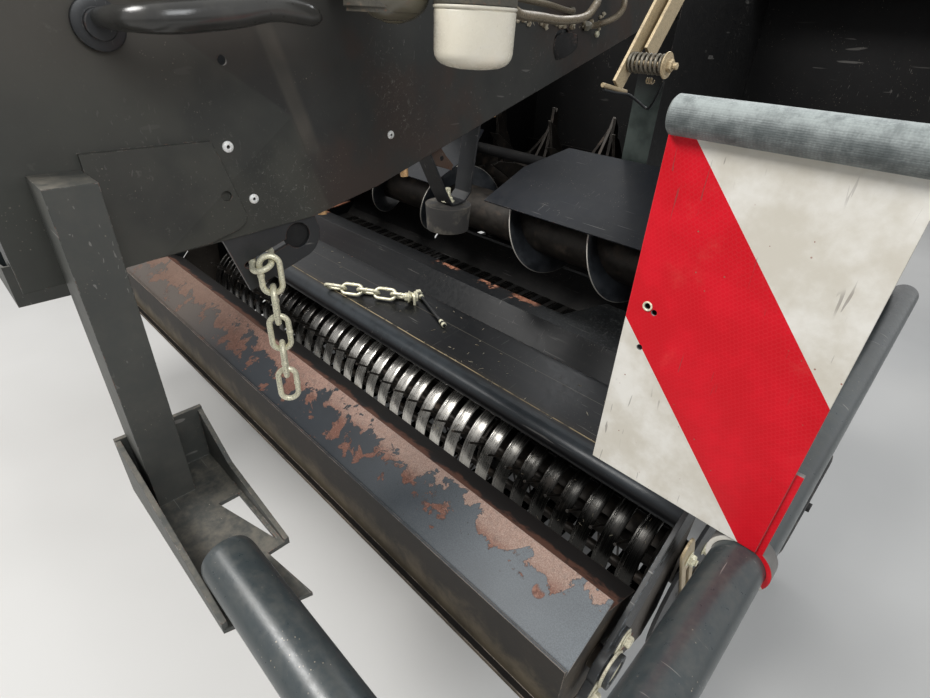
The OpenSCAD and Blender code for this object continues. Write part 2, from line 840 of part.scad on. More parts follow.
// Guard arm: plate with the height slot, and the roller's bearing flange outside it
module guard_arm(s) {
    x0 = arm_x - arm_t;
    lean = 40;
    slot_at = [-1672, -1112];
    slot_half = 22;
    color("#3c3f41") on_side(s) difference() {
        union() {
            slab(x0, arm_t) polygon([
                [-1890, -1262], [-1660, -1065], [-1600, -1020], [-1180, -950], [-1145, -1000],
                [-1200, -1030], [-1560, -1120], [-1640, -1160], [-1790, -1320], [-1860, -1330]
            ]);
            slab(x0, arm_t + 8) translate(roller_at) rotate(lean) {
                square([120, 44], center = true);
                for (x = [-60, 60]) translate([x, 0]) circle(r = 22);
                circle(r = 46);
            }
            bar_x(x0, x0 + arm_t + 26, 36, roller_at);
            bar_x(x0, x0 + arm_t, 40, guard_pivot);
        }
        bar_x(x0 - 1, x0 + arm_t + 27, roller_shaft_r + fit, roller_at);
        bar_x(x0 - 1, x0 + arm_t + 2, guard_pin_r + fit, guard_pivot);
        slab(x0 - 1, arm_t + 2) translate(slot_at) rotate(lean) {
            square([2 * slot_half, 14], center = true);
            for (x = [-slot_half, slot_half]) translate([x, 0]) circle(r = 7);
        }
    }
}

// Top of the guard's flat at the place y
function guard_top(y) = nose_at[1] + nose_r + guard_t / 2 * (1 / cos(guard_slope) - 1)
    + (y - nose_at[0]) * tan(guard_slope);

// Outline of the roller: a hexagon whose six plates each stand past the next
module roller_outline() {
    half = roller_flat * tan(30);
    circle(r = roller_flat / cos(30) - 0.01, $fn = 6);
    for (k = [0 : 5]) rotate(k * 60) translate([-half - roller_lip, roller_flat - roller_t])
        square([2 * half + roller_lip, roller_t]);
}

module press_roller() {
    half = roller_flat * tan(30);
    turn = 30;
    end_t = 8;
    color("#4b5258") {
        difference() {
            slab(-roller_x, 2 * roller_x) translate(roller_at) rotate(turn) mirror([1, 0]) roller_outline();
            slab(-roller_x + end_t, 2 * roller_x - 2 * end_t) translate(roller_at) rotate(turn)
                circle(r = (roller_flat - roller_t) / cos(30), $fn = 6);
        }
        for (s = [-1, 1]) on_side(s) bar_x(roller_x, arm_x + 22, roller_shaft_r, roller_at);
    }
}

// Feed rotor

// Fingers of one star plate, leaning back from their base to the tip
module star() {
    fingers = 4;
    for (k = [0 : fingers - 1]) rotate(k * 360 / fingers) polygon([
        [rotor_tube_r - 20, -44], [rotor_tube_r + 70, -40], [rotor_r - 40, -20], [rotor_r, 6],
        [rotor_r - 60, 12], [rotor_tube_r + 60, 30], [rotor_tube_r - 20, 52]
    ]);
}

module feed_rotor() {
    inner = channel_w / 2 - 6;
    step = (channel_w - 160) / (star_n - 1);
    color("#45484a") {
        bar_x(-inner, inner, rotor_tube_r, rotor_at);
        for (s = [-1, 1]) on_side(s) bar_x(inner, channel_w / 2 + wall_t + 12, rotor_shaft_r, rotor_at);
        for (i = [0 : star_n - 1])
            slab(-channel_w / 2 + 80 - star_t / 2 + i * step, star_t) translate(rotor_at)
                rotate(i * star_turn) star();
    }
}

cross_beam();
for (s = [-1, 1]) hanger(s);  // hangers
for (s = [-1, 1]) channel_wall(s);  // channel_walls
channel_floor();
chamber_panel();
for (s = [-1, 1]) drawbar_beam(s);  // drawbar_beams
drawbar_ties();
side_shield(1);  // side_shield_right
side_shield(-1);  // side_shield_left
grab_handle();
filter_head();
filter_canister();
oil_pipes();
for (s = [-1, 1]) chain_bracket(s);  // chain_brackets
tail_chain();
stop_bracket();
stop_rubber();
latch_lever();
latch_spring();
guard_bow(1);  // guard_bow_right
guard_bow(-1);  // guard_bow_left
for (s = [-1, 1]) bow_post(s);  // bow_posts
for (s = [-1, 1]) marker_board(s);  // marker_boards
for (s = [-1, 1]) board_trim(s);  // board_trims
pickup_side(1);  // pickup_side_right
pickup_side(-1);  // pickup_side_left
pickup_tubes();
crop_floor();
stripper_bands();
auger_cover(1);  // auger_cover_right
auger_cover(-1);  // auger_cover_left
for (s = [-1, 1]) wheel_arm(s);  // wheel_arms
reel();
auger_tube();
auger_flights();
guard_plate();
guard_arm(1);  // guard_arm_right
guard_arm(-1);  // guard_arm_left
tie_chain();
press_roller();
feed_rotor();
gauge_rim(1);  // gauge_rim_right
gauge_tyre(1);  // gauge_tyre_right
gauge_rim(-1);  // gauge_rim_left
gauge_tyre(-1);  // gauge_tyre_left
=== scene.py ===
"""Looks for the intake section of a large square baler, in metres and in the CAD model's frame."""

import json
from math import atan, atan2, cos, degrees, pi, radians, sin, tan
from random import gauss, randint, seed, uniform

import bpy
from mathutils import Matrix, Vector, noise


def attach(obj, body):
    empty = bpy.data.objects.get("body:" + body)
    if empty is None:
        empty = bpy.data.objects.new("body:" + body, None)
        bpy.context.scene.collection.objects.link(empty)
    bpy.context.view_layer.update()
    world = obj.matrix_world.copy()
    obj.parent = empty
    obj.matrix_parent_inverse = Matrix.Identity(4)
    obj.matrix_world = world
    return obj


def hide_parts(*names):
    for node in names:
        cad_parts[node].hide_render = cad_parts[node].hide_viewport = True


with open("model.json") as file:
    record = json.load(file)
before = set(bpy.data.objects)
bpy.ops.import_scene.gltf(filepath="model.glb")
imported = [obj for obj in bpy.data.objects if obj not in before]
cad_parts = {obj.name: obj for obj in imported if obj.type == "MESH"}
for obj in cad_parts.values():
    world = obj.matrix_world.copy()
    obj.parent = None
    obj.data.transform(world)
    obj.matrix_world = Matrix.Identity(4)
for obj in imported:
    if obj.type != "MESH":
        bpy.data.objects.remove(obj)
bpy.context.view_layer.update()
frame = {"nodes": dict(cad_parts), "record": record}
NODES = frame["nodes"]

# Places shared with the part's source, in metres
REEL = Vector((0.0, -1.434, -1.378))
ROLLER = Vector((0.0, -1.848, -1.278))
AUGER = Vector((0.0, -0.921, -0.871))
NOSE = Vector((0.0, -1.61, -1.065))
SEAM_Y = -1.588
# Air between a piece and the face that it stands on
AIR = 0.0003
SIDE_X = 1.19
BOARD_X = SIDE_X + 0.098 - 0.268
ARM_X = 1.174


# ---------------- materials
MATS = {}


class Value:
    """A node's output that adds, subtracts and multiplies through Math nodes."""

    def __init__(self, tree, socket):
        self.tree = tree
        self.socket = socket

    def __add__(self, other):
        return self.tree.calc("ADD", self, other)

    def __sub__(self, other):
        return self.tree.calc("SUBTRACT", self, other)

    def __rsub__(self, other):
        return self.tree.calc("SUBTRACT", other, self)

    def __mul__(self, other):
        return self.tree.calc("MULTIPLY", self, other)

    def __abs__(self):
        return self.tree.calc("ABSOLUTE", self)


class Tree:
    """A material's node tree, built with short calls in the object's own coordinates."""

    def __init__(self, name):
        self.mat = bpy.data.materials.new(name)
        self.mat.use_nodes = True
        self.nt = self.mat.node_tree
        self.nt.nodes.clear()
        self.name = name
        self.color = None
        self.bsdf = self.nt.nodes.new("ShaderNodeBsdfPrincipled")
        self.nt.links.new(self.bsdf.outputs[0], self.nt.nodes.new("ShaderNodeOutputMaterial").inputs[0])
        coord = self.nt.nodes.new("ShaderNodeTexCoord").outputs
        self.place = Value(self, coord["Object"])
        self.face = Value(self, coord["Normal"])
        self.x, self.y, self.z = self.split(self.place)
        self.face_x, self.face_y, self.face_z = self.split(self.face)

    def add(self, kind, inputs, out=0, **props):
        """A new node with its inputs filled and its properties set; gives one of its outputs."""
        node = self.nt.nodes.new("ShaderNode" + kind)
        for key, value in props.items():
            setattr(node, key, value)
        for key, value in inputs.items():
            self.put(node.inputs[key], value)
        return Value(self, node.outputs[out])

    def put(self, socket, value):
        """Links another node's output to an input, or sets the input to a value."""
        value = getattr(value, "socket", value)
        if isinstance(value, bpy.types.NodeSocket):
            self.nt.links.new(value, socket)
        elif isinstance(value, (tuple, list)) and len(value) == 3 and len(socket.default_value) == 4:
            socket.default_value = (*value, 1.0)
        else:
            socket.default_value = value

    def noise(self, scale, detail=3.0, rough=0.55, warp=0.0, where=None):
        return self.add("TexNoise", {"Vector": where or self.place, "Scale": scale, "Detail": detail,
                                               "Roughness": rough, "Distortion": warp}, "Fac")

    def cells(self, scale):
        return self.add("TexVoronoi", {"Vector": self.place, "Scale": scale}, "Distance")

    def stretch(self, scale, turn=(0.0, 0.0, 0.0)):
        return self.add("Mapping", {"Vector": self.place, "Scale": scale, "Rotation": turn})

    def ramp(self, fac, low, high, a=0.0, b=1.0):
        """Maps low..high of fac to a..b, held at both ends."""
        return self.add("MapRange", {"Value": fac, "From Min": low, "From Max": high, "To Min": a,
                                               "To Max": b}, "Result", interpolation_type="SMOOTHSTEP")

    def mix(self, fac, a, b):
        return self.add("Mix", {0: fac, 6: a, 7: b}, 2, data_type="RGBA")

    def calc(self, op, a, b=0.0, clamp=False):
        """A Math node; those with a single input leave b out."""
        inputs = {0: a} if op in ("ABSOLUTE", "SQRT") else {0: a, 1: b}
        return self.add("Math", inputs, operation=op, use_clamp=clamp)

    def most(self, a, b):
        return self.calc("MAXIMUM", a, b)

    def split(self, vector):
        node = self.nt.nodes.new("ShaderNodeSeparateXYZ")
        self.put(node.inputs[0], vector)
        return [Value(self, out) for out in node.outputs]

    def along(self, vector, direction, origin=(0.0, 0.0, 0.0)):
        """How far a point lies along a direction from an origin."""
        shift = self.add("VectorMath", {0: vector, 1: origin}, operation="SUBTRACT")
        return self.add("VectorMath", {0: shift, 1: direction}, "Value", operation="DOT_PRODUCT")

    def edges(self, radius):
        """Bright where a sharp edge lies within the radius, and the rounded normal."""
        bevel = self.add("Bevel", {"Radius": radius}, samples=4)
        normal = self.add("NewGeometry", {}, "Normal")
        turned = self.add("VectorMath", {0: bevel, 1: normal}, "Value", operation="DOT_PRODUCT")
        return self.ramp(1.0 - turned, 0.02, 0.16), bevel

    def bump(self, height, depth, strength, normal=None):
        inputs = {"Height": height, "Distance": depth, "Strength": strength}
        if normal is not None:
            inputs["Normal"] = normal
        return self.add("Bump", inputs)

    def coat(self, fac, color):
        """Lays a colour over what is there, by a factor."""
        self.color = self.mix(fac, self.color, color)

    def finish(self, rough, normal, metal=0.0, shine=0.5):
        """Fills the shader's main inputs and keeps the material under its name."""
        for key, value in {"Base Color": self.color, "Roughness": rough, "Normal": normal, "Metallic": metal,
                           "Specular IOR Level": shine}.items():
            self.put(self.bsdf.inputs[key], value)
        MATS[self.name] = self.mat


def shade(color, k):
    """A colour made lighter or darker by a factor."""
    return tuple(min(1.0, c * k) for c in color)


# Directions out of the roller's top plate and up along it
ROLLER_OUT = (0.0, -0.5, 0.866)
ROLLER_ALONG = (0.0, 0.866, 0.5)
# Colours that several looks share
RUST = (0.235, 0.088, 0.045)
RUST_DARK = (0.075, 0.03, 0.018)
RUST_PALE = (0.43, 0.2, 0.135)
DUST = (0.235, 0.205, 0.16)
BARE = (0.42, 0.4, 0.37)


def painted(name, base, rough=0.42, dust=0.35, scratch=0.6, worn=0.5, specks=0.6, rust=0.0, edge=0.0025, extra=None,
            relief=None, shine=0.5, edge_sheen=None):
    """Worn paint on steel: clouded colour, dust on what faces up, specks, scratches and rubbed edges."""
    t = Tree(name)
    big = t.noise(2.6, 3.0)
    mid = t.noise(17.0, 6.0, 0.62)
    fine = t.noise(240.0, 2.0, 0.6)
    t.color = t.mix(t.ramp(big, 0.3, 0.7), shade(base, 0.86), shade(base, 1.16))
    t.coat(t.ramp(mid, 0.48, 0.78, 0.0, 0.22), shade(base, 1.5))
    up = t.ramp(t.face_z, 0.25, 1.0)
    grit = t.noise(75.0, 6.0, 0.72)
    film = t.ramp(mid + grit, 0.8, 1.3) * (up + 0.22)
    film = t.calc("MULTIPLY", film, dust, True)
    t.coat(film, DUST)
    flecks = t.cells(150.0) + (t.noise(310.0, 3.0) - 0.5) * 0.55
    dots = t.ramp(flecks, 0.13, 0.06) * t.ramp(t.noise(11.0, 5.0, 0.7), 0.5, 0.66)
    dots = t.calc("MULTIPLY", dots, specks, True)
    t.coat(dots, shade(DUST, 1.7))
    lines = t.noise(1.0, 2.0, 0.5, 0.4, t.stretch((6.0, 190.0, 60.0), (0.3, 0.2, 0.9)))
    lines = t.ramp(lines, 0.685, 0.71) * t.ramp(t.noise(5.0, 2.0), 0.5, 0.62)
    more = t.noise(1.0, 2.0, 0.5, 0.3, t.stretch((230.0, 9.0, 40.0), (0.1, 0.5, -0.5)))
    more = t.ramp(more, 0.7, 0.72) * t.ramp(t.noise(4.0, 2.0), 0.48, 0.62)
    lines = t.calc("MULTIPLY", t.most(lines, more), scratch, True)
    t.coat(lines, shade(BARE, 0.62))
    near, round_normal = t.edges(edge)
    if relief:
        round_normal = relief(t, round_normal)
    # Chips on the edges in rust and bare steel; a colour given for them instead makes them a painted highlight.
    chips = near * t.ramp(t.noise(60.0, 4.0, 0.6), 0.5, 0.62)
    chips = t.calc("MULTIPLY", chips, worn, True)
    t.coat(chips, edge_sheen or t.mix(t.ramp(fine, 0.4, 0.6), RUST, shade(BARE, 0.7)))
    roughness = t.ramp(grit, 0.3, 0.7, rough - 0.03, rough + 0.06) + film * 0.35
    if rust > 0.0:
        flakes = t.noise(6.0, 8.0, 0.66, 0.3) + near * 0.12
        flakes = t.ramp(flakes, 0.66 - 0.12 * rust, 0.675 - 0.12 * rust)
        t.coat(flakes, t.mix(t.ramp(mid, 0.4, 0.7), RUST_DARK, RUST))
        roughness = t.mix(flakes, roughness, (0.85, 0.85, 0.85))
    height = fine * 0.25 + mid * 0.6
    if extra:
        roughness, height = extra(t, roughness, height, near)
    normal = t.bump(height, 0.0006, 0.45, round_normal)
    t.finish(roughness, normal, shine=shine)


def steel(name, base, rough=0.34, grain=(200.0, 6.0, 6.0), stain=0.4, stain_color=(0.09, 0.06, 0.04), metal=0.9,
          edge=0.0015, bright=None, spread=(0.62, 1.35)):
    """Bare steel with a rubbed grain and brown stains."""
    t = Tree(name)
    streak = t.noise(1.0, 5.0, 0.65, 0.0, t.stretch(grain))
    mid = t.noise(22.0, 6.0, 0.65)
    big = t.noise(3.2, 2.0)
    t.color = t.mix(t.ramp(streak, 0.3, 0.7), shade(base, spread[0]), shade(base, spread[1]))
    # Painted shade: where the mask is 0 the colour falls to near-black.
    if bright is not None:
        t.color = t.mix(bright(t), shade(base, 0.032), t.color)
    amount = t.ramp(mid, 0.5, 0.7) * t.ramp(big, 0.35, 0.65, 0.35, 1.0)
    amount = t.calc("MULTIPLY", amount, stain, True)
    t.coat(amount, stain_color)
    near, round_normal = t.edges(edge)
    t.coat(near * 0.55, shade(BARE, 1.15))
    roughness = t.ramp(streak, 0.3, 0.7, rough - 0.07, rough + 0.1) + amount * 0.4
    metallic = t.calc("SUBTRACT", metal, amount * 0.7, True)
    normal = t.bump(streak + mid * 0.5, 0.0004, 0.4, round_normal)
    t.finish(roughness, normal, metallic)


def roller_paint():
    """Six plates: blue-grey paint with a painted glare and flaking rust on the top front one, brown dirt on the
    rest, and painted shade high on the front faces.
    """
    t = Tree("rusty_paint")
    across = t.along(t.place, ROLLER_ALONG, ROLLER)
    outside = t.along(t.place, ROLLER_OUT, ROLLER)
    on_top = t.ramp(t.along(t.face, ROLLER_OUT), 0.8, 0.92) * t.ramp(outside, 0.112, 0.116)
    big = t.noise(3.0, 4.0, 0.6, 0.2)
    mid = t.noise(16.0, 7.0, 0.66, 0.3)
    fine = t.noise(130.0, 4.0, 0.65)
    grit = t.noise(420.0, 3.0, 0.7)
    paint = t.mix(t.ramp(big, 0.35, 0.65), (0.013, 0.017, 0.022), (0.026, 0.032, 0.039))
    paint = t.mix(t.ramp(mid, 0.46, 0.74, 0.0, 0.35), paint, (0.06, 0.068, 0.078))
    glare = t.ramp(t.x, 0.3, 1.1) * t.ramp(t.noise(6.0, 3.0), 0.3, 0.6, 0.82, 1.0)
    glare = glare * t.ramp(across, -0.1, -0.06, 0.25, 1.0)
    paint = t.mix(glare, paint, t.mix(t.ramp(grit, 0.4, 0.62), (0.085, 0.1, 0.114), (0.15, 0.17, 0.184)))
    drops = t.ramp(t.cells(70.0), 0.13, 0.09) * t.ramp(t.noise(9.0, 2.0), 0.5, 0.6)
    paint = t.mix(drops, paint, (0.03, 0.026, 0.026))
    paint = t.mix(t.ramp(t.x, -0.05, -0.55, 0.0, 0.8), paint, (0.1, 0.078, 0.062))
    rust = t.mix(t.ramp(fine, 0.38, 0.62), (0.15, 0.062, 0.04), (0.33, 0.165, 0.115))
    rust = t.mix(t.ramp(mid, 0.44, 0.6, 0.0, 0.8), rust, (0.19, 0.082, 0.056))
    rust = t.mix(t.ramp(t.noise(45.0, 4.0), 0.54, 0.68, 0.0, 0.65), rust, (0.07, 0.032, 0.024))
    rust = t.mix(t.ramp(grit, 0.55, 0.66, 0.0, 0.55), rust, (0.52, 0.36, 0.29))
    pale = t.ramp(across + big * 0.03, 0.04, 0.082, 0.0, 0.55) * t.ramp(t.x, -0.3, 0.7, 0.25, 1.0)
    rust = t.mix(pale, rust, t.mix(t.ramp(grit, 0.35, 0.6), (0.33, 0.235, 0.19), (0.56, 0.44, 0.37)))
    rust = t.mix(t.ramp(t.x, 0.05, -0.6, 0.0, 0.7), rust, (0.12, 0.082, 0.06))
    flake = across * 3.1 + t.ramp(t.x, 0.35, 1.12) * -0.12 + (big - 0.5) * 0.9 + (mid - 0.5) * 1.55
    patch = t.ramp(flake, 0.088, 0.108)
    spots = t.ramp(t.cells(17.0), 0.3, 0.27) * t.ramp(t.noise(7.0, 2.0), 0.54, 0.57)
    patch = t.most(patch, spots * t.ramp(across, -0.06, 0.03))
    rim = t.calc("SUBTRACT", t.ramp(flake, 0.06, 0.09), patch, True)
    top = t.mix(patch, t.mix(rim * 0.6, paint, (0.03, 0.024, 0.024)), rust)
    # A near-black line along the front edge of the top plate: partly debris, partly painted shade in the corner
    # there.
    seam = t.ramp(across + mid * 0.012, -0.073, -0.081) * t.ramp(t.x, 0.1, 0.45)
    top = t.mix(seam * 0.9, top, (0.01, 0.009, 0.009))
    dirt = t.mix(t.ramp(mid, 0.35, 0.65), (0.01, 0.008, 0.006), (0.042, 0.031, 0.02))
    dirt = t.mix(t.ramp(big, 0.5, 0.66, 0.0, 0.6), dirt, (0.06, 0.034, 0.022))
    dirt = t.mix(t.ramp(t.noise(38.0, 6.0, 0.7), 0.58, 0.7, 0.0, 0.55), dirt, (0.15, 0.118, 0.078))
    dirt = t.mix(t.ramp(fine, 0.64, 0.74, 0.0, 0.4), dirt, (0.27, 0.22, 0.16))
    behind = t.ramp(t.along(t.face, ROLLER_ALONG), 0.6, 0.85)
    back = t.mix(t.ramp(outside * 9.0 + mid, 0.86, 1.0), (0.009, 0.008, 0.008), (0.125, 0.055, 0.036))
    dirt = t.mix(behind * 0.9, dirt, back)
    # The front faces: near-black at the top, painted shade under the plate above, turning to tan dirt lower down.
    ahead = t.ramp(t.along(t.face, (0.0, -1.0, 0.0)), 0.8, 0.95)
    low = t.along(t.place, (0.0, 0.0, -1.0), ROLLER) * 6.0 + mid
    front = t.mix(t.ramp(low, 0.3, 0.85), (0.011, 0.009, 0.007), (0.095, 0.076, 0.05))
    dirt = t.mix(ahead * 0.85, dirt, front)
    t.color = t.mix(on_top, dirt, top)
    near, round_normal = t.edges(0.003)
    t.coat(near * t.ramp(mid, 0.4, 0.55, 0.25, 0.85), (0.36, 0.3, 0.25))
    painted_rough = t.mix(t.ramp(grit, 0.4, 0.6), (0.42, 0.42, 0.42), (0.5, 0.5, 0.5))
    rough = t.mix(on_top * (1.0 - patch), (0.68, 0.68, 0.68), painted_rough)
    t.finish(rough, t.bump(fine * 0.35 - patch * 0.9, 0.0009, 0.7, round_normal), shine=0.35)


def guard_marks(t, roughness, height, near):
    """The straw line behind the nose, chips on the folds, streaks of dust on the flat and a painted highlight on
    the nose.
    """
    wander = (t.noise(2.0, 2.0) - 0.5) * 0.01
    seam = t.ramp(abs(t.y - SEAM_Y + wander), 0.0022, 0.0009) * t.ramp(t.z, -1.05, -1.045)
    seam = seam * t.ramp(t.noise(26.0, 3.0), 0.36, 0.52, 0.15, 1.0)
    t.coat(seam, (0.34, 0.27, 0.16))
    t.coat(t.ramp(abs(t.y + 1.47), 0.0012, 0.0004, 0.0, 0.35), DUST)
    chips = t.ramp(t.noise(13.0, 6.0, 0.7), 0.6, 0.63) * t.ramp(near, 0.02, 0.3)
    t.coat(chips * t.ramp(t.x, 1.0, 0.8), RUST_PALE)
    streaks = t.noise(1.0, 3.0, 0.6, 0.0, t.stretch((2.0, 60.0, 60.0)))
    t.coat(t.ramp(streaks, 0.5, 0.78, 0.0, 0.035), shade(DUST, 0.8))
    brown = t.ramp(abs(t.y - SEAM_Y), 0.03, 0.004) * t.ramp(streaks, 0.35, 0.7, 0.0, 0.1)
    t.coat(brown, (0.2, 0.14, 0.08))
    spots = t.ramp(abs(t.x - 0.14), 0.06, 0.03)
    for center, half in ((0.33, 0.045), (0.48, 0.06), (-0.62, 0.05)):
        spots = t.most(spots, t.ramp(abs(t.x - center), half, half * 0.5))
    flaked = t.noise(30.0, 6.0, 0.7) + t.ramp(t.y, -1.305, -1.276) * 0.2
    rim = spots * t.ramp(flaked, 0.6, 0.615) * t.ramp(t.y, -1.312, -1.305)
    t.coat(rim, t.mix(t.ramp(t.noise(150.0, 3.0), 0.4, 0.6), RUST, (0.42, 0.2, 0.13)))
    dusty = t.ramp(t.x, 0.46, 0.6) * t.ramp(t.y, -1.352, -1.335)
    hairs = t.ramp(t.noise(75.0, 6.0, 0.8, 2.0), 0.52, 0.6)
    t.coat(dusty * (hairs * 0.42 + 0.03), (0.11, 0.115, 0.11))
    # Painted highlight: the upper faces of the nose made a lighter blue-grey.
    nose = t.ramp(t.y, -1.594, -1.606) * t.ramp(t.face_z, 0.25, 0.7)
    t.coat(nose * t.ramp(t.noise(30.0, 4.0), 0.3, 0.6, 0.55, 0.9), (0.03, 0.036, 0.041))
    return t.mix(seam, roughness, (0.9, 0.9, 0.9)), height + seam * 1.5


def board_paint():
    """Red and white warning sheeting with its fine cells, scuffed and dusty."""
    t = Tree("board_red")
    side = abs(t.x)
    low = (side - 1.0247) * -1.1037 - 0.6189
    high = (side - 1.0617) * -1.1037 - 0.3621
    white = t.most(t.calc("LESS_THAN", t.z, low), t.calc("GREATER_THAN", t.z, high))
    mid = t.noise(14.0, 5.0, 0.62)
    fine = t.noise(210.0, 3.0, 0.6)
    red = t.mix(t.ramp(mid, 0.35, 0.7), (0.6, 0.003, 0.012), (0.7, 0.005, 0.018))
    pale = t.mix(t.ramp(mid, 0.35, 0.7), (0.64, 0.6, 0.52), (0.8, 0.775, 0.72))
    t.color = t.mix(white, red, pale)
    turned = t.stretch((1.0, 0.0, 1.0), (pi / 2, 0.0, radians(45)))
    net = t.add("TexBrick", {"Vector": turned, "Scale": 90.0, "Mortar Size": 0.06, "Brick Width": 0.5,
                                       "Row Height": 0.5}, "Fac")
    t.coat(net * 0.01, (0.82, 0.8, 0.76))
    dirt = t.ramp(t.noise(9.0, 7.0, 0.72), 0.54, 0.78, 0.0, 0.26)
    t.coat(dirt, t.mix(white, (0.8, 0.16, 0.12), (0.42, 0.36, 0.26)))
    ticks = t.ramp(t.cells(55.0), 0.07, 0.05) * t.ramp(t.noise(6.0, 2.0), 0.52, 0.6)
    t.coat(ticks, (0.3, 0.12, 0.08))
    marks = t.noise(1.0, 2.0, 0.5, 0.6, t.stretch((150.0, 1.0, 14.0), (0.0, 0.5, 0.0)))
    marks = t.ramp(marks, 0.68, 0.7) * t.ramp(t.noise(8.0, 2.0), 0.5, 0.6)
    t.coat(marks * 0.5, (0.1, 0.07, 0.06))
    near, round_normal = t.edges(0.0016)
    t.coat(near * 0.45, (0.2, 0.19, 0.18))
    edge_face = t.ramp(abs(t.face_y), 0.6, 0.4)
    t.coat(edge_face, (0.16, 0.15, 0.14))
    normal = t.bump(net * 0.2 + fine * 0.3, 0.0002, 0.5, round_normal)
    t.finish(t.ramp(mid, 0.3, 0.7, 0.36, 0.5), normal, shine=0.22)


def rubber(name, base, rough=0.75, pale=0.35, grain=900.0):
    """Rubber with a dusty bloom and darker specks."""
    t = Tree(name)
    mid = t.noise(26.0, 5.0, 0.62)
    big = t.noise(5.0, 3.0)
    fine = t.noise(grain, 2.0, 0.6)
    t.color = t.mix(t.ramp(big, 0.35, 0.65), shade(base, 0.75), shade(base, 1.3))
    t.coat(t.ramp(mid, 0.48, 0.7, 0.0, pale), DUST)
    t.coat(t.ramp(t.cells(60.0), 0.14, 0.08, 0.0, 0.4), shade(base, 0.4))
    near, round_normal = t.edges(0.003)
    t.coat(near * 0.3, shade(DUST, 1.2))
    normal = t.bump(fine * 0.5 + mid, 0.0005, 0.5, round_normal)
    t.finish(t.ramp(mid, 0.3, 0.7, rough - 0.08, rough + 0.1), normal)


def plated(name, base, rough=0.38, tarnish=(0.16, 0.12, 0.075), amount=0.5, metal=0.75, rusty=0.3):
    """Zinc plating gone dull, with darker hollows and rust freckles."""
    t = Tree(name)
    mid = t.noise(55.0, 5.0, 0.65)
    fine = t.noise(480.0, 3.0, 0.6)
    t.color = t.mix(t.ramp(fine, 0.35, 0.65), shade(base, 0.82), shade(base, 1.18))
    stain = t.ramp(mid, 0.5, 0.72, 0.0, amount)
    t.coat(stain, tarnish)
    freckle = t.ramp(t.noise(150.0, 3.0), 0.62, 0.68) * rusty
    t.coat(freckle, RUST)
    near, round_normal = t.edges(0.0012)
    t.coat(near * 0.35, shade(base, 1.5))
    roughness = t.ramp(fine, 0.3, 0.7, rough - 0.05, rough + 0.08) + stain * 0.35
    normal = t.bump(fine + mid, 0.0004, 0.5, round_normal)
    t.finish(roughness, normal, t.calc("SUBTRACT", metal, stain, True))


def flight_color():
    """Dark flights, scraped bright along their rims."""
    t = Tree("flight_steel")
    out = t.calc("SQRT", t.calc("POWER", t.y - AUGER.y, 2.0) + t.calc("POWER", t.z - AUGER.z, 2.0))
    mid = t.noise(18.0, 5.0, 0.65)
    fine = t.noise(160.0, 3.0, 0.6)
    t.color = t.mix(t.ramp(mid, 0.35, 0.65), (0.011, 0.013, 0.016), (0.026, 0.03, 0.036))
    wear = t.ramp(out, 0.11, 0.15) * t.ramp(mid, 0.42, 0.66, 0.0, 0.55)
    t.coat(wear, (0.085, 0.088, 0.09))
    rim = t.ramp(out, 0.1474, 0.1482) * t.ramp(fine, 0.28, 0.45, 0.55, 1.0)
    t.coat(rim, (0.78, 0.74, 0.66))
    normal = t.bump(fine + mid, 0.0004, 0.4)
    t.finish(t.mix(rim, (0.42, 0.42, 0.42), (0.25, 0.25, 0.25)), normal, rim * 0.5)


def lit_fronts(t, roughness, height, near):
    """Grey-green where the walls face the front and catch the light."""
    front = t.ramp(t.face_y, -0.6, -0.9) * t.ramp(t.z, -0.36, -0.46)
    grey = t.mix(t.ramp(t.noise(14.0, 4.0), 0.3, 0.7), (0.018, 0.025, 0.022), (0.05, 0.062, 0.056))
    t.coat(front, grey)
    return roughness, height


def straw_color():
    """Straw and chaff, from dull brown to pale."""
    t = Tree("straw")
    t.color = t.mix(t.ramp(t.noise(90.0, 3.0), 0.35, 0.65), (0.16, 0.125, 0.08), (0.5, 0.45, 0.34))
    t.finish(0.8, t.bump(t.noise(900.0, 2.0), 0.0002, 0.5))


def band_light_mask(t):
    """Painted light and shade on the bands: 1 where they keep their steel colour, in the middle and at the front
    top, falling to 0 towards the ends, the back and below.
    """
    sway = (t.noise(2.2, 2.0) - 0.5) * 0.25
    right = t.ramp(t.x + sway, 0.8, 0.38)
    left = t.ramp(t.x + sway, -0.4, 0.05)
    front = t.ramp(t.y, -1.44, -1.5) * t.ramp(t.z, -1.43, -1.33)
    return right * left * front


# Folds in the shield: a point on each line, and the direction away from it towards the folded side
FOLD_A = ((0.46, -1.968, -0.405), (0.0, -0.9465, -0.3228))
FOLD_B = ((0.46, -2.046, -0.3415), (0.0, -0.584, -0.812))


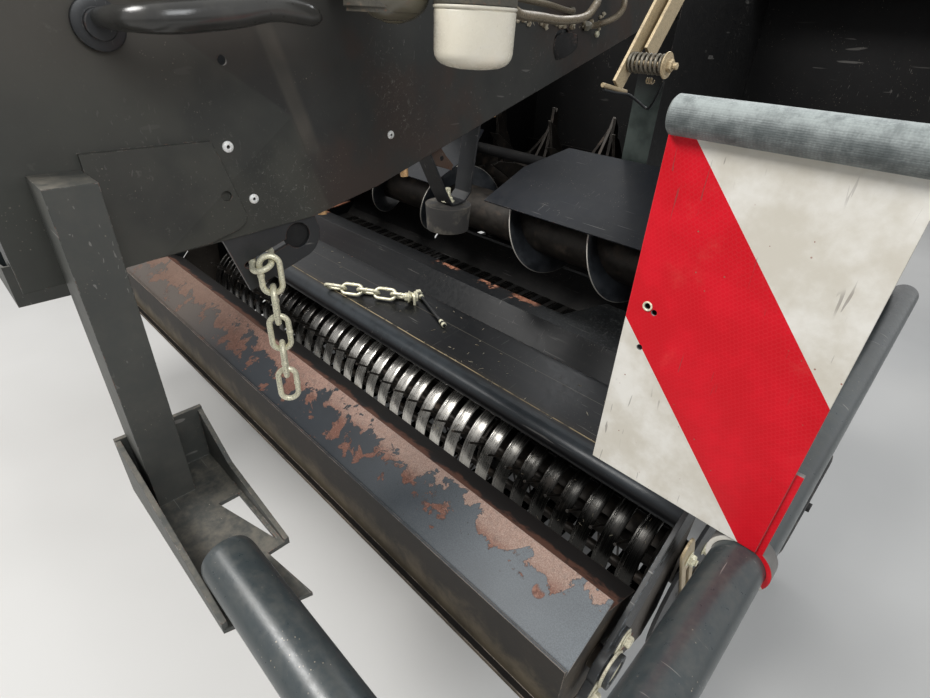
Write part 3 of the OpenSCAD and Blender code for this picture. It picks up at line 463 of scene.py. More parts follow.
def shield_relief(t, normal):
    """The shallow folds pressed into a side shield, with painted light below the second fold, a painted highlight
    along the first, painted shade between them, and patches of oil and dust.
    """
    first = t.along(t.place, FOLD_A[1], FOLD_A[0])
    second = t.along(t.place, FOLD_B[1], FOLD_B[0])
    left = t.ramp(first, -0.005, 0.005)
    below = t.ramp(second, -0.004, 0.004) * left
    flat_b = t.most(t.calc("MINIMUM", first, second), 0.0) * 0.14
    flat_a = t.most(first, 0.0) * 0.1
    strip = t.ramp(abs(first + 0.012), 0.02, 0.008) * t.ramp(t.z, -0.5, -0.4)
    wave = t.noise(3.4, 4.0, 0.6)
    small = t.noise(21.0, 5.0, 0.65)
    # Painted light on the face below the second fold, a painted highlight along the bend of the first, and painted
    # shade on the face between them.
    t.coat(below * t.ramp(wave, 0.25, 0.6, 0.35, 0.95), (0.06, 0.06, 0.05))
    t.coat(strip * 0.75, (0.095, 0.084, 0.068))
    between = left * (1.0 - below)
    t.coat(between * 0.6, (0.022, 0.019, 0.017))
    warm = t.ramp(t.z, -0.4, -0.27) * t.ramp(t.y, -1.82, -2.02)
    t.coat(warm * 0.55, (0.07, 0.06, 0.05))
    oil = t.ramp(wave + small * 0.3, 0.6, 0.74) * t.ramp(t.y, -2.0, -1.88)
    t.coat(oil * 0.6, (0.046, 0.028, 0.021))
    dark = t.ramp(t.noise(5.3, 3.0, 0.6), 0.5, 0.66)
    t.coat(dark * 0.45, (0.016, 0.018, 0.018))
    scuff = t.along(t.place, (0.0, 0.55, 0.83), (0.46, -1.735, -0.385))
    scuff = t.ramp(abs(scuff), 0.09, 0.01) * t.ramp(abs(t.y + 1.735), 0.11, 0.03)
    low = t.ramp(abs(t.y + 1.995), 0.13, 0.04) * t.ramp(abs(t.z + 0.52), 0.09, 0.03)
    rubbed = t.most(scuff, low)
    marks = t.ramp(t.noise(120.0, 6.0, 0.8, 1.2), 0.575, 0.645)
    t.coat(rubbed * marks * 0.55, (0.26, 0.255, 0.225))
    dust = t.ramp(t.noise(52.0, 6.0, 0.75), 0.6, 0.7) * t.ramp(t.noise(5.0, 2.0), 0.46, 0.62)
    t.coat(dust * 0.35, (0.15, 0.145, 0.125))
    return t.bump(flat_a + flat_b, 1.0, 1.0, normal)


def fabric():
    """Grey rubber hose with the print of its wrapping cloth, lighter grey on top."""
    t = Tree("hose_cloth")
    mid = t.noise(34.0, 6.0, 0.68)
    weave = t.add("TexVoronoi", {"Vector": t.stretch((1.0, 1.6, 1.6)), "Scale": 260.0, "Randomness": 0.25},
                  "Distance", distance="MANHATTAN")
    t.color = t.mix(t.ramp(mid, 0.32, 0.68), (0.085, 0.1, 0.1), (0.25, 0.275, 0.27))
    t.coat(t.ramp(weave, 0.35, 0.75, 0.0, 0.3), (0.055, 0.062, 0.064))
    # Lighter blue-grey on the faces that look up.
    up = t.ramp(t.face_z, -0.1, 0.9)
    t.coat(up * t.ramp(mid, 0.36, 0.62, 0.3, 0.75), (0.4, 0.44, 0.43))
    round_normal = t.edges(0.003)[1]
    normal = t.bump(weave + mid * 0.5, 0.0006, 0.6, round_normal)
    t.finish(t.ramp(mid, 0.3, 0.7, 0.55, 0.75), normal)


painted("frame_paint", (0.02, 0.0215, 0.023), 0.46, dust=0.12, rust=0.2)
painted("black_paint", (0.0075, 0.0085, 0.01), 0.4, dust=0.06)
painted("shield_paint", (0.03, 0.03, 0.0275), 0.52, dust=0.06, scratch=0.35, specks=0.9,
        worn=0.6, relief=shield_relief, shine=0.35)
painted("bow_paint", (0.034, 0.043, 0.046), 0.3, dust=0.1, scratch=0.8, specks=0.9, worn=0.9)
painted("post_paint", (0.05, 0.052, 0.047), 0.55, dust=0.35, scratch=0.6, worn=0.9)
# The arms' pale steel-blue edge chips are a painted highlight on the worn edges.
painted("arm_paint", (0.016, 0.018, 0.02), 0.4, dust=0.06, worn=1.0, edge=0.004, edge_sheen=(0.2, 0.23, 0.25))
painted("guard_paint", (0.0042, 0.0048, 0.0058), 0.31, dust=0.01, scratch=0.4, specks=0.6,
        extra=guard_marks, shine=0.26)
painted("cover_paint", (0.0085, 0.0105, 0.0145), 0.36, dust=0.03, scratch=0.4, specks=0.9, shine=0.35)
# Near-black for parts deep inside the machine, darker than black_paint: painted shade.
painted("shaded_inner_black", (0.0048, 0.0048, 0.005), 0.62, dust=0.04, scratch=0.3, shine=0.2)
roller_paint()
steel("wall_steel", (0.07, 0.072, 0.066), 0.42, (8.0, 60.0, 8.0), 0.6)
# Stripper bands: near-black as painted shade outside the lit middle, front and top.
steel("worn_steel", (0.6, 0.58, 0.54), 0.24, (300.0, 2.0, 2.0), 0.3, (0.05, 0.035, 0.025),
      0.85, 0.0012, band_light_mask, (0.9, 1.09))
steel("dark_steel", (0.03, 0.026, 0.022), 0.5, (30.0, 30.0, 30.0), 0.8, metal=0.6)
flight_color()
painted("wall_dark", (0.0048, 0.0048, 0.005), 0.55, dust=0.04, scratch=0.3, extra=lit_fronts, shine=0.25)
plated("cast_grey", (0.078, 0.072, 0.058), 0.55, amount=0.7, metal=0.35)
plated("zinc", (0.76, 0.725, 0.54), 0.3, (0.34, 0.29, 0.18), amount=0.35, metal=0.35, rusty=0.12)
plated("tan_zinc", (0.46, 0.365, 0.225), 0.38, amount=0.4, metal=0.3)
plated("spring_steel", (0.15, 0.135, 0.105), 0.4, amount=0.5, metal=0.45)
plated("pipe_steel", (0.2, 0.165, 0.115), 0.3, (0.05, 0.032, 0.02), 0.75, 0.25)
painted("brown_plate", (0.075, 0.043, 0.029), 0.6, dust=0.35, rust=0.8)
painted("skirt_dirt", (0.034, 0.027, 0.021), 0.55, dust=0.35, rust=0.3)
rubber("rubber", (0.045, 0.047, 0.05))
fabric()
rubber("stop_rubber", (0.03, 0.028, 0.026), 0.72, 0.35)
rubber("tyre", (0.022, 0.022, 0.023), 0.82, 0.5)
board_paint()
straw_color()
plated("bearing_cream", (0.62, 0.58, 0.44), 0.5, amount=0.6, metal=0.15)
plated("bright", (0.98, 0.96, 0.88), 0.35, (0.62, 0.58, 0.46), 0.3, 0.05)
plated("brass", (0.62, 0.38, 0.18), 0.34, amount=0.4, metal=0.5)
rubber("grip", (0.042, 0.041, 0.038), 0.16, 0.04, 500.0)
painted("oily", (0.125, 0.112, 0.08), 0.2, dust=0.12, scratch=0.2, worn=0.5, specks=0.3, shine=0.7)
painted("cream_paint", (0.86, 0.8, 0.66), 0.24, dust=0.3, scratch=0.1, worn=0.2, specks=0.35)
# Near-black that paints the shade in holes and hollows
painted("hollow", (0.0022, 0.002, 0.002), 0.85, dust=0.0, scratch=0.0, specks=0.1)

# Nodes of the CAD model that look otherwise than their slot
NODE_LOOK = {
    "guard_plate": "guard_paint",
    "reel": "dark_steel",
    "crop_floor": "shaded_inner_black",
    "chamber_panel": "shaded_inner_black",
    "channel_walls": "wall_dark",
    "hangers": "shaded_inner_black",
    "stop_rubber": "stop_rubber",
    "channel_floor": "shaded_inner_black",
    "pickup_tubes": "shaded_inner_black",
    "auger_cover_right": "cover_paint",
    "auger_cover_left": "cover_paint",
    "board_trims": "hose_cloth",
    "bow_posts": "post_paint",
    "chain_brackets": "frame_paint",
    "guard_arm_right": "arm_paint",
    "guard_arm_left": "arm_paint",
}
SLOT_OF = {part["node"]: part["material_slot"] for part in frame["record"]["subparts"]}
for name, obj in NODES.items():
    mat = MATS[NODE_LOOK.get(name, SLOT_OF[name])]
    for slot in obj.material_slots:
        slot.material = mat
    if not obj.material_slots:
        obj.data.materials.append(mat)


# ---------------- mesh helpers
class Mesh:
    """Collects vertices and faces, then becomes one piece that rides a body and takes a slot."""

    def __init__(self):
        self.verts = []
        self.faces = []

    def add(self, verts, faces, matrix=None):
        base = len(self.verts)
        for v in verts:
            p = Vector(v)
            self.verts.append(matrix @ p if matrix is not None else p)
        self.faces.extend([tuple(base + i for i in face) for face in faces])

    def piece(self, name, mat, body, smooth=35, replaces=()):
        data = bpy.data.meshes.new(name)
        data.from_pydata([tuple(v) for v in self.verts], [], self.faces)
        data.update()
        data.materials.append(MATS[mat])
        obj = bpy.data.objects.new(name, data)
        bpy.context.scene.collection.objects.link(obj)
        data.polygons.foreach_set("use_smooth", [True] * len(data.polygons))
        data.set_sharp_from_angle(angle=radians(smooth))
        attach(obj, body)
        if replaces:
            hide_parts(*replaces)


def placed(at, direction):
    """A matrix that moves the origin to a point and turns +Z to the direction."""
    z = Vector(direction).normalized()
    hint = Vector((0, 0, 1)) if abs(z.z) <= 0.95 else Vector((1, 0, 0))
    x = hint.cross(z).normalized()
    return Matrix.Translation(Vector(at)) @ Matrix((x, z.cross(x), z)).transposed().to_4x4()


def circle(k, count, r=1.0):
    """Point k of a circle of that many points."""
    a = 2 * pi * k / count
    return r * cos(a), r * sin(a)


def skin(rings, count, flip=False, closed=False):
    """The faces between rings of points that follow one another."""
    faces = []
    for i in range(rings if closed else rings - 1):
        for k in range(count):
            a, b = i * count + k, i * count + (k + 1) % count
            c, d = (b + count) % (rings * count), (a + count) % (rings * count)
            faces.append((a, d, c, b) if flip else (a, b, c, d))
    return faces


def lathe(profile, seg=24):
    """A turned form about Z from (radius, height) pairs."""
    verts = [(*circle(k, seg, r), z) for r, z in profile for k in range(seg)]
    return verts, skin(len(profile), seg)


def barrel(r, low, high, seg):
    """A plain cylinder about Z."""
    return lathe([(0.0001, low), (r, low), (r, high), (0.0001, high)], seg)


def tube(points, radius, seg=12, closed=False):
    """A round tube along points, with a steady frame and flat ends."""
    pts = [Vector(p) for p in points]
    n = len(pts)
    verts = []
    side = None
    for i, p in enumerate(pts):
        before = pts[(i - 1) % n] if closed or i > 0 else p
        after = pts[(i + 1) % n] if closed or i < n - 1 else p
        way = (after - before).normalized()
        if side is None:
            side = way.cross(Vector((0, 0, 1)))
            if side.length < 0.1:
                side = way.cross(Vector((1, 0, 0)))
        side = (side - way * side.dot(way)).normalized()
        up = way.cross(side)
        r = radius(i / (n - 1)) if callable(radius) else radius
        for k in range(seg):
            c, d = circle(k, seg, r)
            verts.append(p + side * c + up * d)
    faces = skin(n, seg, closed=closed)
    if not closed:
        faces += [tuple(range(seg - 1, -1, -1)), tuple(range((n - 1) * seg, n * seg))]
    return verts, faces


def spline(knots, steps=8):
    """A smooth line through the knots."""
    pts = [Vector(k) for k in knots]
    out = []
    for i in range(len(pts) - 1):
        a = pts[max(0, i - 1)]
        b = pts[i]
        c = pts[i + 1]
        d = pts[min(len(pts) - 1, i + 2)]
        for s in range(steps):
            t = s / steps
            out.append(0.5 * ((2 * b) + (c - a) * t + (2 * a - 5 * b + 4 * c - d) * t * t
                              + (3 * b - a - 3 * c + d) * t ** 3))
    out.append(pts[-1])
    return out


def hex_head(d, height):
    """A hexagon head with its top edge taken off."""
    flat = d * 0.8
    return lathe([(flat, 0.0), (flat, height * 0.8), (flat * 0.86, height), (0.0001, height)], 6)


def bolt(mesh, at, direction, d, washer=True, stub=None):
    """A bolt head, or a nut where it has a stub of thread, standing on a face."""
    m = placed(at, direction)
    base = 0.0
    if washer:
        mesh.add(*lathe([(d * 0.55, 0.0), (d * 1.15, 0.0), (d * 1.22, d * 0.05), (d * 1.22, d * 0.16),
                         (d * 1.15, d * 0.2), (d * 0.55, d * 0.2)], 20), m)
        base = d * 0.2
    turn = Matrix.Rotation(uniform(0, pi / 3), 4, "Z")
    mesh.add(*hex_head(d * 1.15, d * 0.72), m @ Matrix.Translation((0, 0, base)) @ turn)
    if stub is not None:
        length = max(stub, d * 0.35)
        prof = [(d * 0.5, 0.0)]
        rings = max(2, int(length / (d * 0.16)))
        for i in range(rings):
            z = length * (i + 0.5) / rings
            prof += [(d * 0.5, z), (d * 0.44, z + length * 0.25 / rings)]
        prof += [(d * 0.42, length), (0.0001, length)]
        mesh.add(*lathe(prof, 14), m @ Matrix.Translation((0, 0, base + d * 0.62)))


def stack(mesh, at, direction, parts, seg=24):
    """Turned rings one after another along a direction: (radius, length) pairs."""
    z = 0.0
    prof = [(0.0001, 0.0)]
    for r, length in parts:
        prof += [(r * 0.94, z), (r, z + length * 0.12), (r, z + length * 0.88), (r * 0.94, z + length)]
        z += length
    prof.append((0.0001, z))
    mesh.add(*lathe(prof, seg), placed(at, direction))


def rivet(mesh, at, direction, r=0.006):
    """A pop rivet: a low dome with a hollow in the middle."""
    mesh.add(*lathe([(r, 0.0), (r * 0.98, r * 0.16), (r * 0.78, r * 0.34), (r * 0.42, r * 0.42),
                     (r * 0.34, r * 0.36), (r * 0.3, r * 0.1), (0.0001, r * 0.1)], 18), placed(at, direction))


def plate(mesh, sign, x, thick, outline, hole=()):
    """A flat plate outwards from x on one side, with its long edges eased and an optional slot."""
    x = x if sign > 0 else -x - thick
    n = len(outline)
    m = len(hole)
    center = Vector((0, sum(q[0] for q in outline) / n, sum(q[1] for q in outline) / n))
    verts = []
    for dx, ease in ((0.0, 0.0012), (0.0008, 0.0), (thick - 0.0008, 0.0), (thick, 0.0012)):
        for y, z in outline:
            way = (Vector((0, y, z)) - center).normalized()
            verts.append((x + dx, y - way.y * ease, z - way.z * ease))
    faces = skin(4, n)
    if not hole:
        faces += [tuple(range(n - 1, -1, -1)), tuple(range(3 * n, 4 * n))]
    base = 4 * n
    verts += [(x + dx, y, z) for dx in (0.0, thick) for y, z in hole]
    for k in range(m):
        k2 = (k + 1) % m
        faces.append((base + k, base + m + k, base + m + k2, base + k2))
        faces.append((k, base + k, base + k2, k2))
        faces.append((3 * n + k, 3 * n + k2, base + m + k2, base + m + k))
    mesh.add(verts, faces)


def capsule(a, b, half, steps=8):
    """Outline of a slot from a to b in the Y, Z plane."""
    turn = atan2(b[1] - a[1], b[0] - a[0])
    out = []
    for end, start in ((b, turn - pi / 2), (a, turn + pi / 2)):
        for i in range(steps + 1):
            t = start + pi * i / steps
            out.append((end[0] + half * cos(t), end[1] + half * sin(t)))
    return out


def ribbon(mesh, line, thick, x0, x1):
    """A bent strip: a line of points in the Y, Z plane, given a thickness and a width along X."""
    left = []
    right = []
    for i, q in enumerate(line):
        way = (Vector(line[min(len(line) - 1, i + 1)]) - Vector(line[max(0, i - 1)])).normalized()
        turn = Vector((-way.y, way.x)) * (thick / 2)
        left.append(Vector(q) + turn)
        right.append(Vector(q) - turn)
    outline = left + right[::-1]
    n = len(outline)
    verts = [(x0, q.x, q.y) for q in outline] + [(x1, q.x, q.y) for q in outline]
    faces = [(k, (k + 1) % n, n + (k + 1) % n, n + k) for k in range(n)]
    half = len(line)
    for k in range(half - 1):
        faces.append((k, n - 1 - k, n - 2 - k, k + 1))
        faces.append((n + k, n + k + 1, 2 * n - 2 - k, 2 * n - 1 - k))
    mesh.add(verts, faces)


seed(11)

# ---------------- chains
WIRE = 0.012
WIRE_R = 0.0054
LINK_W = 0.046
BEND = (LINK_W - WIRE) / 2
LINK_PITCH = 0.06
LINK_STEP = LINK_PITCH - 2 * AIR
STRAIGHT = (LINK_PITCH + WIRE) / 2 - BEND


def link(mesh, matrix, weld_side=1):
    """One welded link in the X, Y plane, long in Y."""
    loop = []
    for i in range(28):
        x, y = circle(i + 0.5, 28, BEND)
        loop.append(matrix @ Vector((x, y + (STRAIGHT if i < 14 else -STRAIGHT), 0)))
    mesh.add(*tube(loop, WIRE_R, closed=True))
    weld = [matrix @ Vector((weld_side * BEND, y, 0)) for y in (-0.004, -0.002, 0.0, 0.002, 0.004)]
    mesh.add(*tube(weld, lambda t: WIRE_R + 0.001 * sin(pi * t) ** 0.5 + 0.0001))


SLOPE = radians(17.5)
HOLE_AT = Vector((0.451, -1.985, -0.6))


def rot(x=0.0, y=0.0, z=0.0):
    """Turns about X, then Y, then Z, in degrees, as the part's source does."""
    return (Matrix.Rotation(radians(z), 4, "Z") @ Matrix.Rotation(radians(y), 4, "Y")
            @ Matrix.Rotation(radians(x), 4, "X"))


tail = Mesh()
held = HOLE_AT + Vector((0.012, -0.084 * cos(SLOPE), -0.084 * sin(SLOPE)))
# Where the first hanging link goes through the held one: on its bend, in the held link's own plane
flat = (STRAIGHT * cos(radians(30)) + BEND * cos(radians(62)),
        -STRAIGHT * sin(radians(30)) + BEND * sin(radians(62)))
lift = WIRE + 0.0018
top = held + Vector((flat[0], flat[1] * cos(SLOPE) - lift * sin(SLOPE),
                     flat[1] * sin(SLOPE) + lift * cos(SLOPE)))
link(tail, Matrix.Translation(held) @ rot(x=17.5) @ rot(z=-120))
for i in range(5):
    place = top - Vector((0, 0, (LINK_PITCH + WIRE) / 2 + i * LINK_STEP))
    link(tail, Matrix.Translation(place) @ rot(90, 0, 62 if i % 2 == 0 else 152), 1 if i % 3 else -1)
tail.piece("hanging_chain", "zinc", "frame", 60, ("tail_chain",))

# Chain lying on the guard, as in the part's source, with its bolt
BOLT = Vector((0.163, -1.469, 0.0))
GUARD_SLOPE = radians(5.0)
HEADING = 28.0


def guard_top(y):
    """Height of the guard's flat, in metres."""
    return NOSE.z + 0.03 + 0.002 * (1 / cos(GUARD_SLOPE) - 1) + (y - NOSE.y) * tan(GUARD_SLOPE)


tie = Mesh()
rest = BEND * sin(radians(45)) + WIRE / 2 + 0.0006
fall = degrees(atan(tan(GUARD_SLOPE) * sin(radians(HEADING))))
lie = Matrix.Translation((BOLT.x, BOLT.y, guard_top(BOLT.y) + rest)) @ rot(z=HEADING) @ rot(y=-fall)
for i in range(5):
    turn = rot(y=45 if i % 2 == 0 else -45, z=90)
    link(tie, lie @ Matrix.Translation((-0.026 - i * LINK_STEP, 0, 0)) @ turn, 1 if i % 2 else -1)
tie.piece("guard_chain", "zinc", "guard", 60, ("tie_chain",))

anchor = Mesh()
knot = Vector((BOLT.x + 0.01, BOLT.y + 0.006, guard_top(BOLT.y) + 0.021))
way = Vector((-0.6, -0.8, 0.1)).normalized()
anchor.add(*barrel(0.0055, -0.004, 0.034, 14), placed(knot, way))
for off, r in ((-0.004, 0.0195), (0.01, 0.0175), (0.0135, 0.0195)):
    disc = [(0.0056, 0.0), (r - 0.001, 0.0), (r, 0.0006), (r, 0.002), (r - 0.001, 0.0026), (0.0056, 0.0026)]
    anchor.add(*lathe(disc, 26), placed(knot + way * off, way))
bolt(anchor, knot + way * 0.0165, way, 0.0155, washer=False, stub=0.007)
bolt(anchor, knot - way * 0.004, -way, 0.0155, washer=False)
strap = []
for i in range(9):
    a = pi * i / 8
    strap.append(knot + way * 0.003 + Vector((0.016 * cos(a), -0.004 * cos(a), 0.013 * sin(a) - 0.002)))
feet = [Vector((end.x, end.y, guard_top(BOLT.y) + 0.001)) for end in (strap[0], strap[-1])]
anchor.add(*tube([feet[0], *strap, feet[1]], 0.0045))
anchor.piece("chain_bolt", "zinc", "guard")

# The loose pin beside it
pin = Mesh()
pin_a = Vector((0.15, -1.42, guard_top(-1.42) + 0.0085))
pin_b = Vector((0.352, -1.495, guard_top(-1.495) + 0.0065))
pin_way = (pin_b - pin_a).normalized()
pin.add(*tube([pin_a, pin_b], 0.0052))
pin.piece("lying_pin", "black_paint", "guard")
pin_ends = Mesh()
pin_ends.add(*hex_head(0.0155, 0.012), placed(pin_a - pin_way * 0.006, pin_way))
for off, r in ((-0.004, 0.0095), (0.022, 0.008), (0.185, 0.0068), (0.205, 0.0078)):
    pin_ends.add(*lathe([(0.0001, 0.0), (r * 0.9, 0.0), (r, 0.001), (r, 0.008), (r * 0.9, 0.009), (0.0001, 0.009)],
                        20), placed(pin_a + pin_way * off, pin_way))
pin_ends.piece("lying_pin_ends", "zinc", "guard")

# ---------------- stripper bands
BAND_R = 0.17
BAND_W = 0.042
BAND_PITCH = 0.066
BAND_N = 34
BEAM_Y = -1.13
BAND_END = Vector((0.0, -0.79, -1.198))


def outward(angle):
    """The direction at an angle in degrees above +Y, in the Y, Z plane."""
    a = radians(angle)
    return Vector((0, cos(a), sin(a)))


def band_rows():
    """Points and outward directions along a band, in the Y, Z plane, from its lower leg to its upper one."""
    rows = []
    out = outward(-60)
    leg = (BEAM_Y - 0.0009 - REEL.y - BAND_R * out.y) / outward(30).y
    for i in range(4):
        rows.append((REEL + out * BAND_R + outward(30) * (leg * (1 - i / 4)), out))
    for i in range(45):
        out = outward(-60 - 210 * i / 44)
        rows.append((REEL + out * BAND_R, out))
    top = REEL + Vector((0, 0, BAND_R))
    for i in range(1, 9):
        rows.append((top.lerp(BAND_END, i / 8), Vector((0, 0, 1))))
    return rows


# Across a band: how far from its left edge, and how high over its sheet
BAND_PROFILE = [
    (0.0, -0.003), (0.0, -0.0006), (0.0006, 0.0), (0.0046, 0.0002), (0.0056, -0.0004), (0.0064, -0.0016),
    (0.0084, -0.0016), (0.0094, -0.0002), (0.0106, 0.0006), (0.015, 0.001), (0.023, 0.0013), (0.031, 0.0011),
    (0.037, 0.0006), (0.0404, -0.0002), (0.0416, -0.001), (0.042, -0.0018), (0.042, -0.003),
]
ROWS = band_rows()
bands = Mesh()
first = -(BAND_N - 1) / 2 * BAND_PITCH - BAND_W / 2
for i in range(BAND_N):
    x0 = first + i * BAND_PITCH
    verts = []
    dent = uniform(-0.0006, 0.0006)
    n = len(BAND_PROFILE)
    for j, (at, out) in enumerate(ROWS):
        for x, h in BAND_PROFILE:
            wave = 0.00025 * noise.noise(Vector((i * 3.1, j * 0.12, x * 20))) if h > -0.002 else 0.0
            verts.append(at + out * (h + wave + dent * (h > -0.002)) + Vector((x0 + x, 0, 0)))
    faces = skin(len(ROWS), n, flip=True)
    faces += [tuple(range(n)), tuple(range(len(verts) - 1, len(verts) - 1 - n, -1))]
    bands.add(verts, faces)
bands.piece("pressed_bands", "worn_steel", "pickup", 28, ("stripper_bands",))

# ---------------- auger flights
FLIGHT_START = 0.07


def flight(sign):
    """One helical sheet with a worn, rounded rim, as in the part's source."""
    per_turn = 72
    pitch = 0.316
    thick = 0.005
    turns = int((SIDE_X - 0.02 - FLIGHT_START) / pitch * 24) / 24
    rim = [(0.0803, 0.0), (0.112, 0.0), (0.1475, 0.0), (0.1494, 0.0008), (0.15, 0.0025), (0.1494, 0.0042),
           (0.1475, thick), (0.112, thick), (0.0803, thick)]
    n = len(rim)
    verts = []
    count = int(turns * per_turn)
    for i in range(count + 1):
        x = FLIGHT_START + pitch * i / per_turn
        for r, dx in rim:
            verts.append(Vector((sign * (x + dx), *circle(i, per_turn, r))) + AUGER)
    faces = skin(count + 1, n, flip=True)
    return verts, faces + [tuple(range(n)), tuple(range(count * n + n - 1, count * n - 1, -1))]


flights = Mesh()
flights.add(*flight(1))
flights.add(*flight(-1))
flights.piece("smooth_flights", "flight_steel", "auger", 35, ("auger_flights",))

# ---------------- dark strips behind the auger, which paint the shade in a gap, and skirts beside the arms
ARM_OUT = 1.17
shade_strips = Mesh()
skirts = Mesh()
for sign in (1, -1):
    for x0, x1, low, high in ((0.562, 1.16, -1.18, -1.04), (0.495, 0.558, -1.18, -1.112)):
        ribbon(shade_strips, [(-0.752, low), (-0.749, (low + high) / 2), (-0.742, high)], 0.003,
               *sorted((sign * x0, sign * x1)))
    plate(skirts, sign, ARM_OUT, 0.003, [(-1.78, -1.318), (-1.64, -1.17), (-1.56, -1.128), (-1.535, -1.12),
                                         (-1.54, -1.28), (-1.56, -1.42), (-1.615, -1.47), (-1.73, -1.41)])
skirts.piece("arm_skirts", "skirt_dirt", "guard")
shade_strips.piece("rear_shade_strips", "shaded_inner_black", "pickup")

# ---------------- latch spring
spring = Mesh()
SPRING_X = 0.7413
SPRING_L = 0.072
LATCH = Vector((0.0, -1.39, -0.3))
coil = []
turns = 8.2
for i in range(int(turns * 22) + 1):
    f = i / (turns * 22)
    squeeze = min(1.0, max(0.0, (f * turns - 0.6) / (turns - 1.2)))
    y, z = circle(i, 22, 0.0158)
    coil.append(LATCH + Vector((SPRING_X + 0.0032 + (SPRING_L - 0.0064) * squeeze, y, z)))
spring.add(*tube(coil, 0.003, 10))
spring.piece("coil_spring", "spring_steel", "frame", 60, ("latch_spring",))


# ---------------- rivets, bolts and nuts
SHIELD_X = 0.46
X = Vector((1, 0, 0))
rivets = Mesh()
shade_discs = Mesh()
for y, z, r in ((-2.088, -0.432, 0.0088), (-2.06, -0.518, 0.0082), (-1.765, -0.443, 0.0078)):
    for sign in (1, -1):
        rivet(rivets, (sign * SHIELD_X, y, z), X * sign, r)
        # A near-black disc in the rivet's hollow: painted shade.
        shade_discs.add(*barrel(r * 0.33, 0.0, r * 0.14, 16), placed((sign * SHIELD_X, y, z), X * sign))
rivets.piece("shield_rivets", "bright", "frame", 30)

# Bolts that hang under the shields' lower edges
under = Mesh()
for sign in (1, -1):
    for x, y, z, r, long in ((0.444, -1.72, -0.5, 0.0085, 0.026), (0.446, -1.925, -0.545, 0.009, 0.022),
                             (0.44, -1.446, -0.405, 0.0075, 0.024)):
        spot = Vector((sign * x, y, z))
        stack(under, spot, Vector((0.12 * sign, -0.05, -1)), ((r * 1.5, 0.006), (r, long)), 18)
under.piece("edge_bolts", "brass", "frame")

# Nuts on the stop bracket and on the shields
studs = Mesh()
for sign in (1, -1):
    bolt(studs, (sign * 0.409, -1.553, -0.623), (0, 0, 1), 0.0135, stub=0.022)
    bolt(studs, (sign * (SHIELD_X + 0.0005), -1.085, -0.259), (sign, 0, 0), 0.0085, washer=False)
studs.piece("stop_studs", "zinc", "frame")

# The bent stop bracket with its lug, and near-black discs and plates that paint the shade in holes of the shields
# and lugs
OVAL = [(-1.2562, -0.2665), (-1.2374, -0.26), (-1.1962, -0.2569), (-1.1736, -0.2606), (-1.1656, -0.2733),
        (-1.1651, -0.2907), (-1.1879, -0.3039), (-1.2196, -0.3148), (-1.2485, -0.3168), (-1.2596, -0.304),
        (-1.2635, -0.2873), (-1.2623, -0.2749)]
folded = Mesh()
lugs = Mesh()
STOP_FOOT = -0.6283 + AIR
for sign in (1, -1):
    x0, x1 = sorted((sign * 0.3835, sign * 0.4345))
    ribbon(folded, [(-1.64, -0.49), (-1.585, -0.59), (-1.562, STOP_FOOT + 0.0032), (-1.545, STOP_FOOT + 0.0028)],
           0.005, x0, x1)
    ribbon(folded, [(-1.545, STOP_FOOT + 0.0028), (-1.52, STOP_FOOT + 0.006), (-1.502, -0.605), (-1.478, -0.44)],
           0.005, x0, x1)
    plate(lugs, sign, 0.397, 0.006,
          [(-1.6154, -0.48), (-1.5877, -0.48), (-1.5552, -0.5177), (-1.531, -0.5412), (-1.5372, -0.5521),
           (-1.5836, -0.5369), (-1.6182, -0.5148)])
    shade_discs.add(*barrel(0.006, 0.0, 0.0006, 16), placed((sign * 0.4032, -1.5712, -0.5203), X * sign))
    shade_discs.add(*barrel(0.0262, 0.0, 0.0006, 40), placed((sign * 0.4462, HOLE_AT.y, HOLE_AT.z), X * sign))
    plate(shade_discs, sign, SHIELD_X + 0.0002, 0.0008, OVAL)
folded.piece("folded_stop", "black_paint", "frame", 35, ("stop_bracket",))
lugs.piece("stop_lugs", "brown_plate", "frame")
shade_discs.piece("painted_shade_discs", "hollow", "frame")

# A ring on each board's hole and two nuts behind it
board_bolts = Mesh()
for sign in (1, -1):
    ring_at = placed((sign * 1.0494, -1.7703, -0.5857), (0, -1, 0))
    board_bolts.add(*lathe([(0.0046, 0.0), (0.0076, 0.0), (0.0074, 0.001), (0.0062, 0.0016), (0.005, 0.0011),
                            (0.0046, 0.0)], 28), ring_at)
    for x, z in ((1.1, -0.455), (1.1, -0.8)):
        bolt(board_bolts, (sign * x, -1.767, z), (0, 1, 0), 0.008, stub=0.0)
board_bolts.piece("board_bolts", "zinc", "frame")

# Slit hoses over the boards' upper edges
hoses = Mesh()
HOSE_R = 0.0235
for x0 in (BOARD_X, -BOARD_X - 0.288):
    hoses.add(*lathe([(0.006, 0.0), (HOSE_R - 0.003, 0.0), (HOSE_R, 0.003), (HOSE_R + 0.0002, 0.1), (HOSE_R, 0.2),
                      (HOSE_R, 0.285), (HOSE_R - 0.003, 0.288), (0.006, 0.288), (0.006, 0.0)], 40),
              placed((x0, -1.7685, -0.333), X))
hoses.piece("slit_hoses", "hose_cloth", "frame", 40, ("board_trims",))

# ---------------- handle
grip = Mesh()
handle = spline([(0.47, -2.222, -0.266), (0.505, -2.216, -0.265), (0.548, -2.205, -0.264), (0.57, -2.17, -0.261),
                 (0.573, -2.1, -0.253), (0.573, -2.04, -0.245), (0.573, -1.972, -0.254)], 7)


def grip_width(f):
    if f < 0.33:
        return 0.01 + 0.004 * min(1.0, f / 0.2)
    swell = 0.0145 + 0.0035 * sin(pi * min(1.0, (f - 0.33) / 0.6))
    return swell * max(0.25, 1 - max(0.0, (f - 0.93) / 0.07) ** 2 * 0.75)


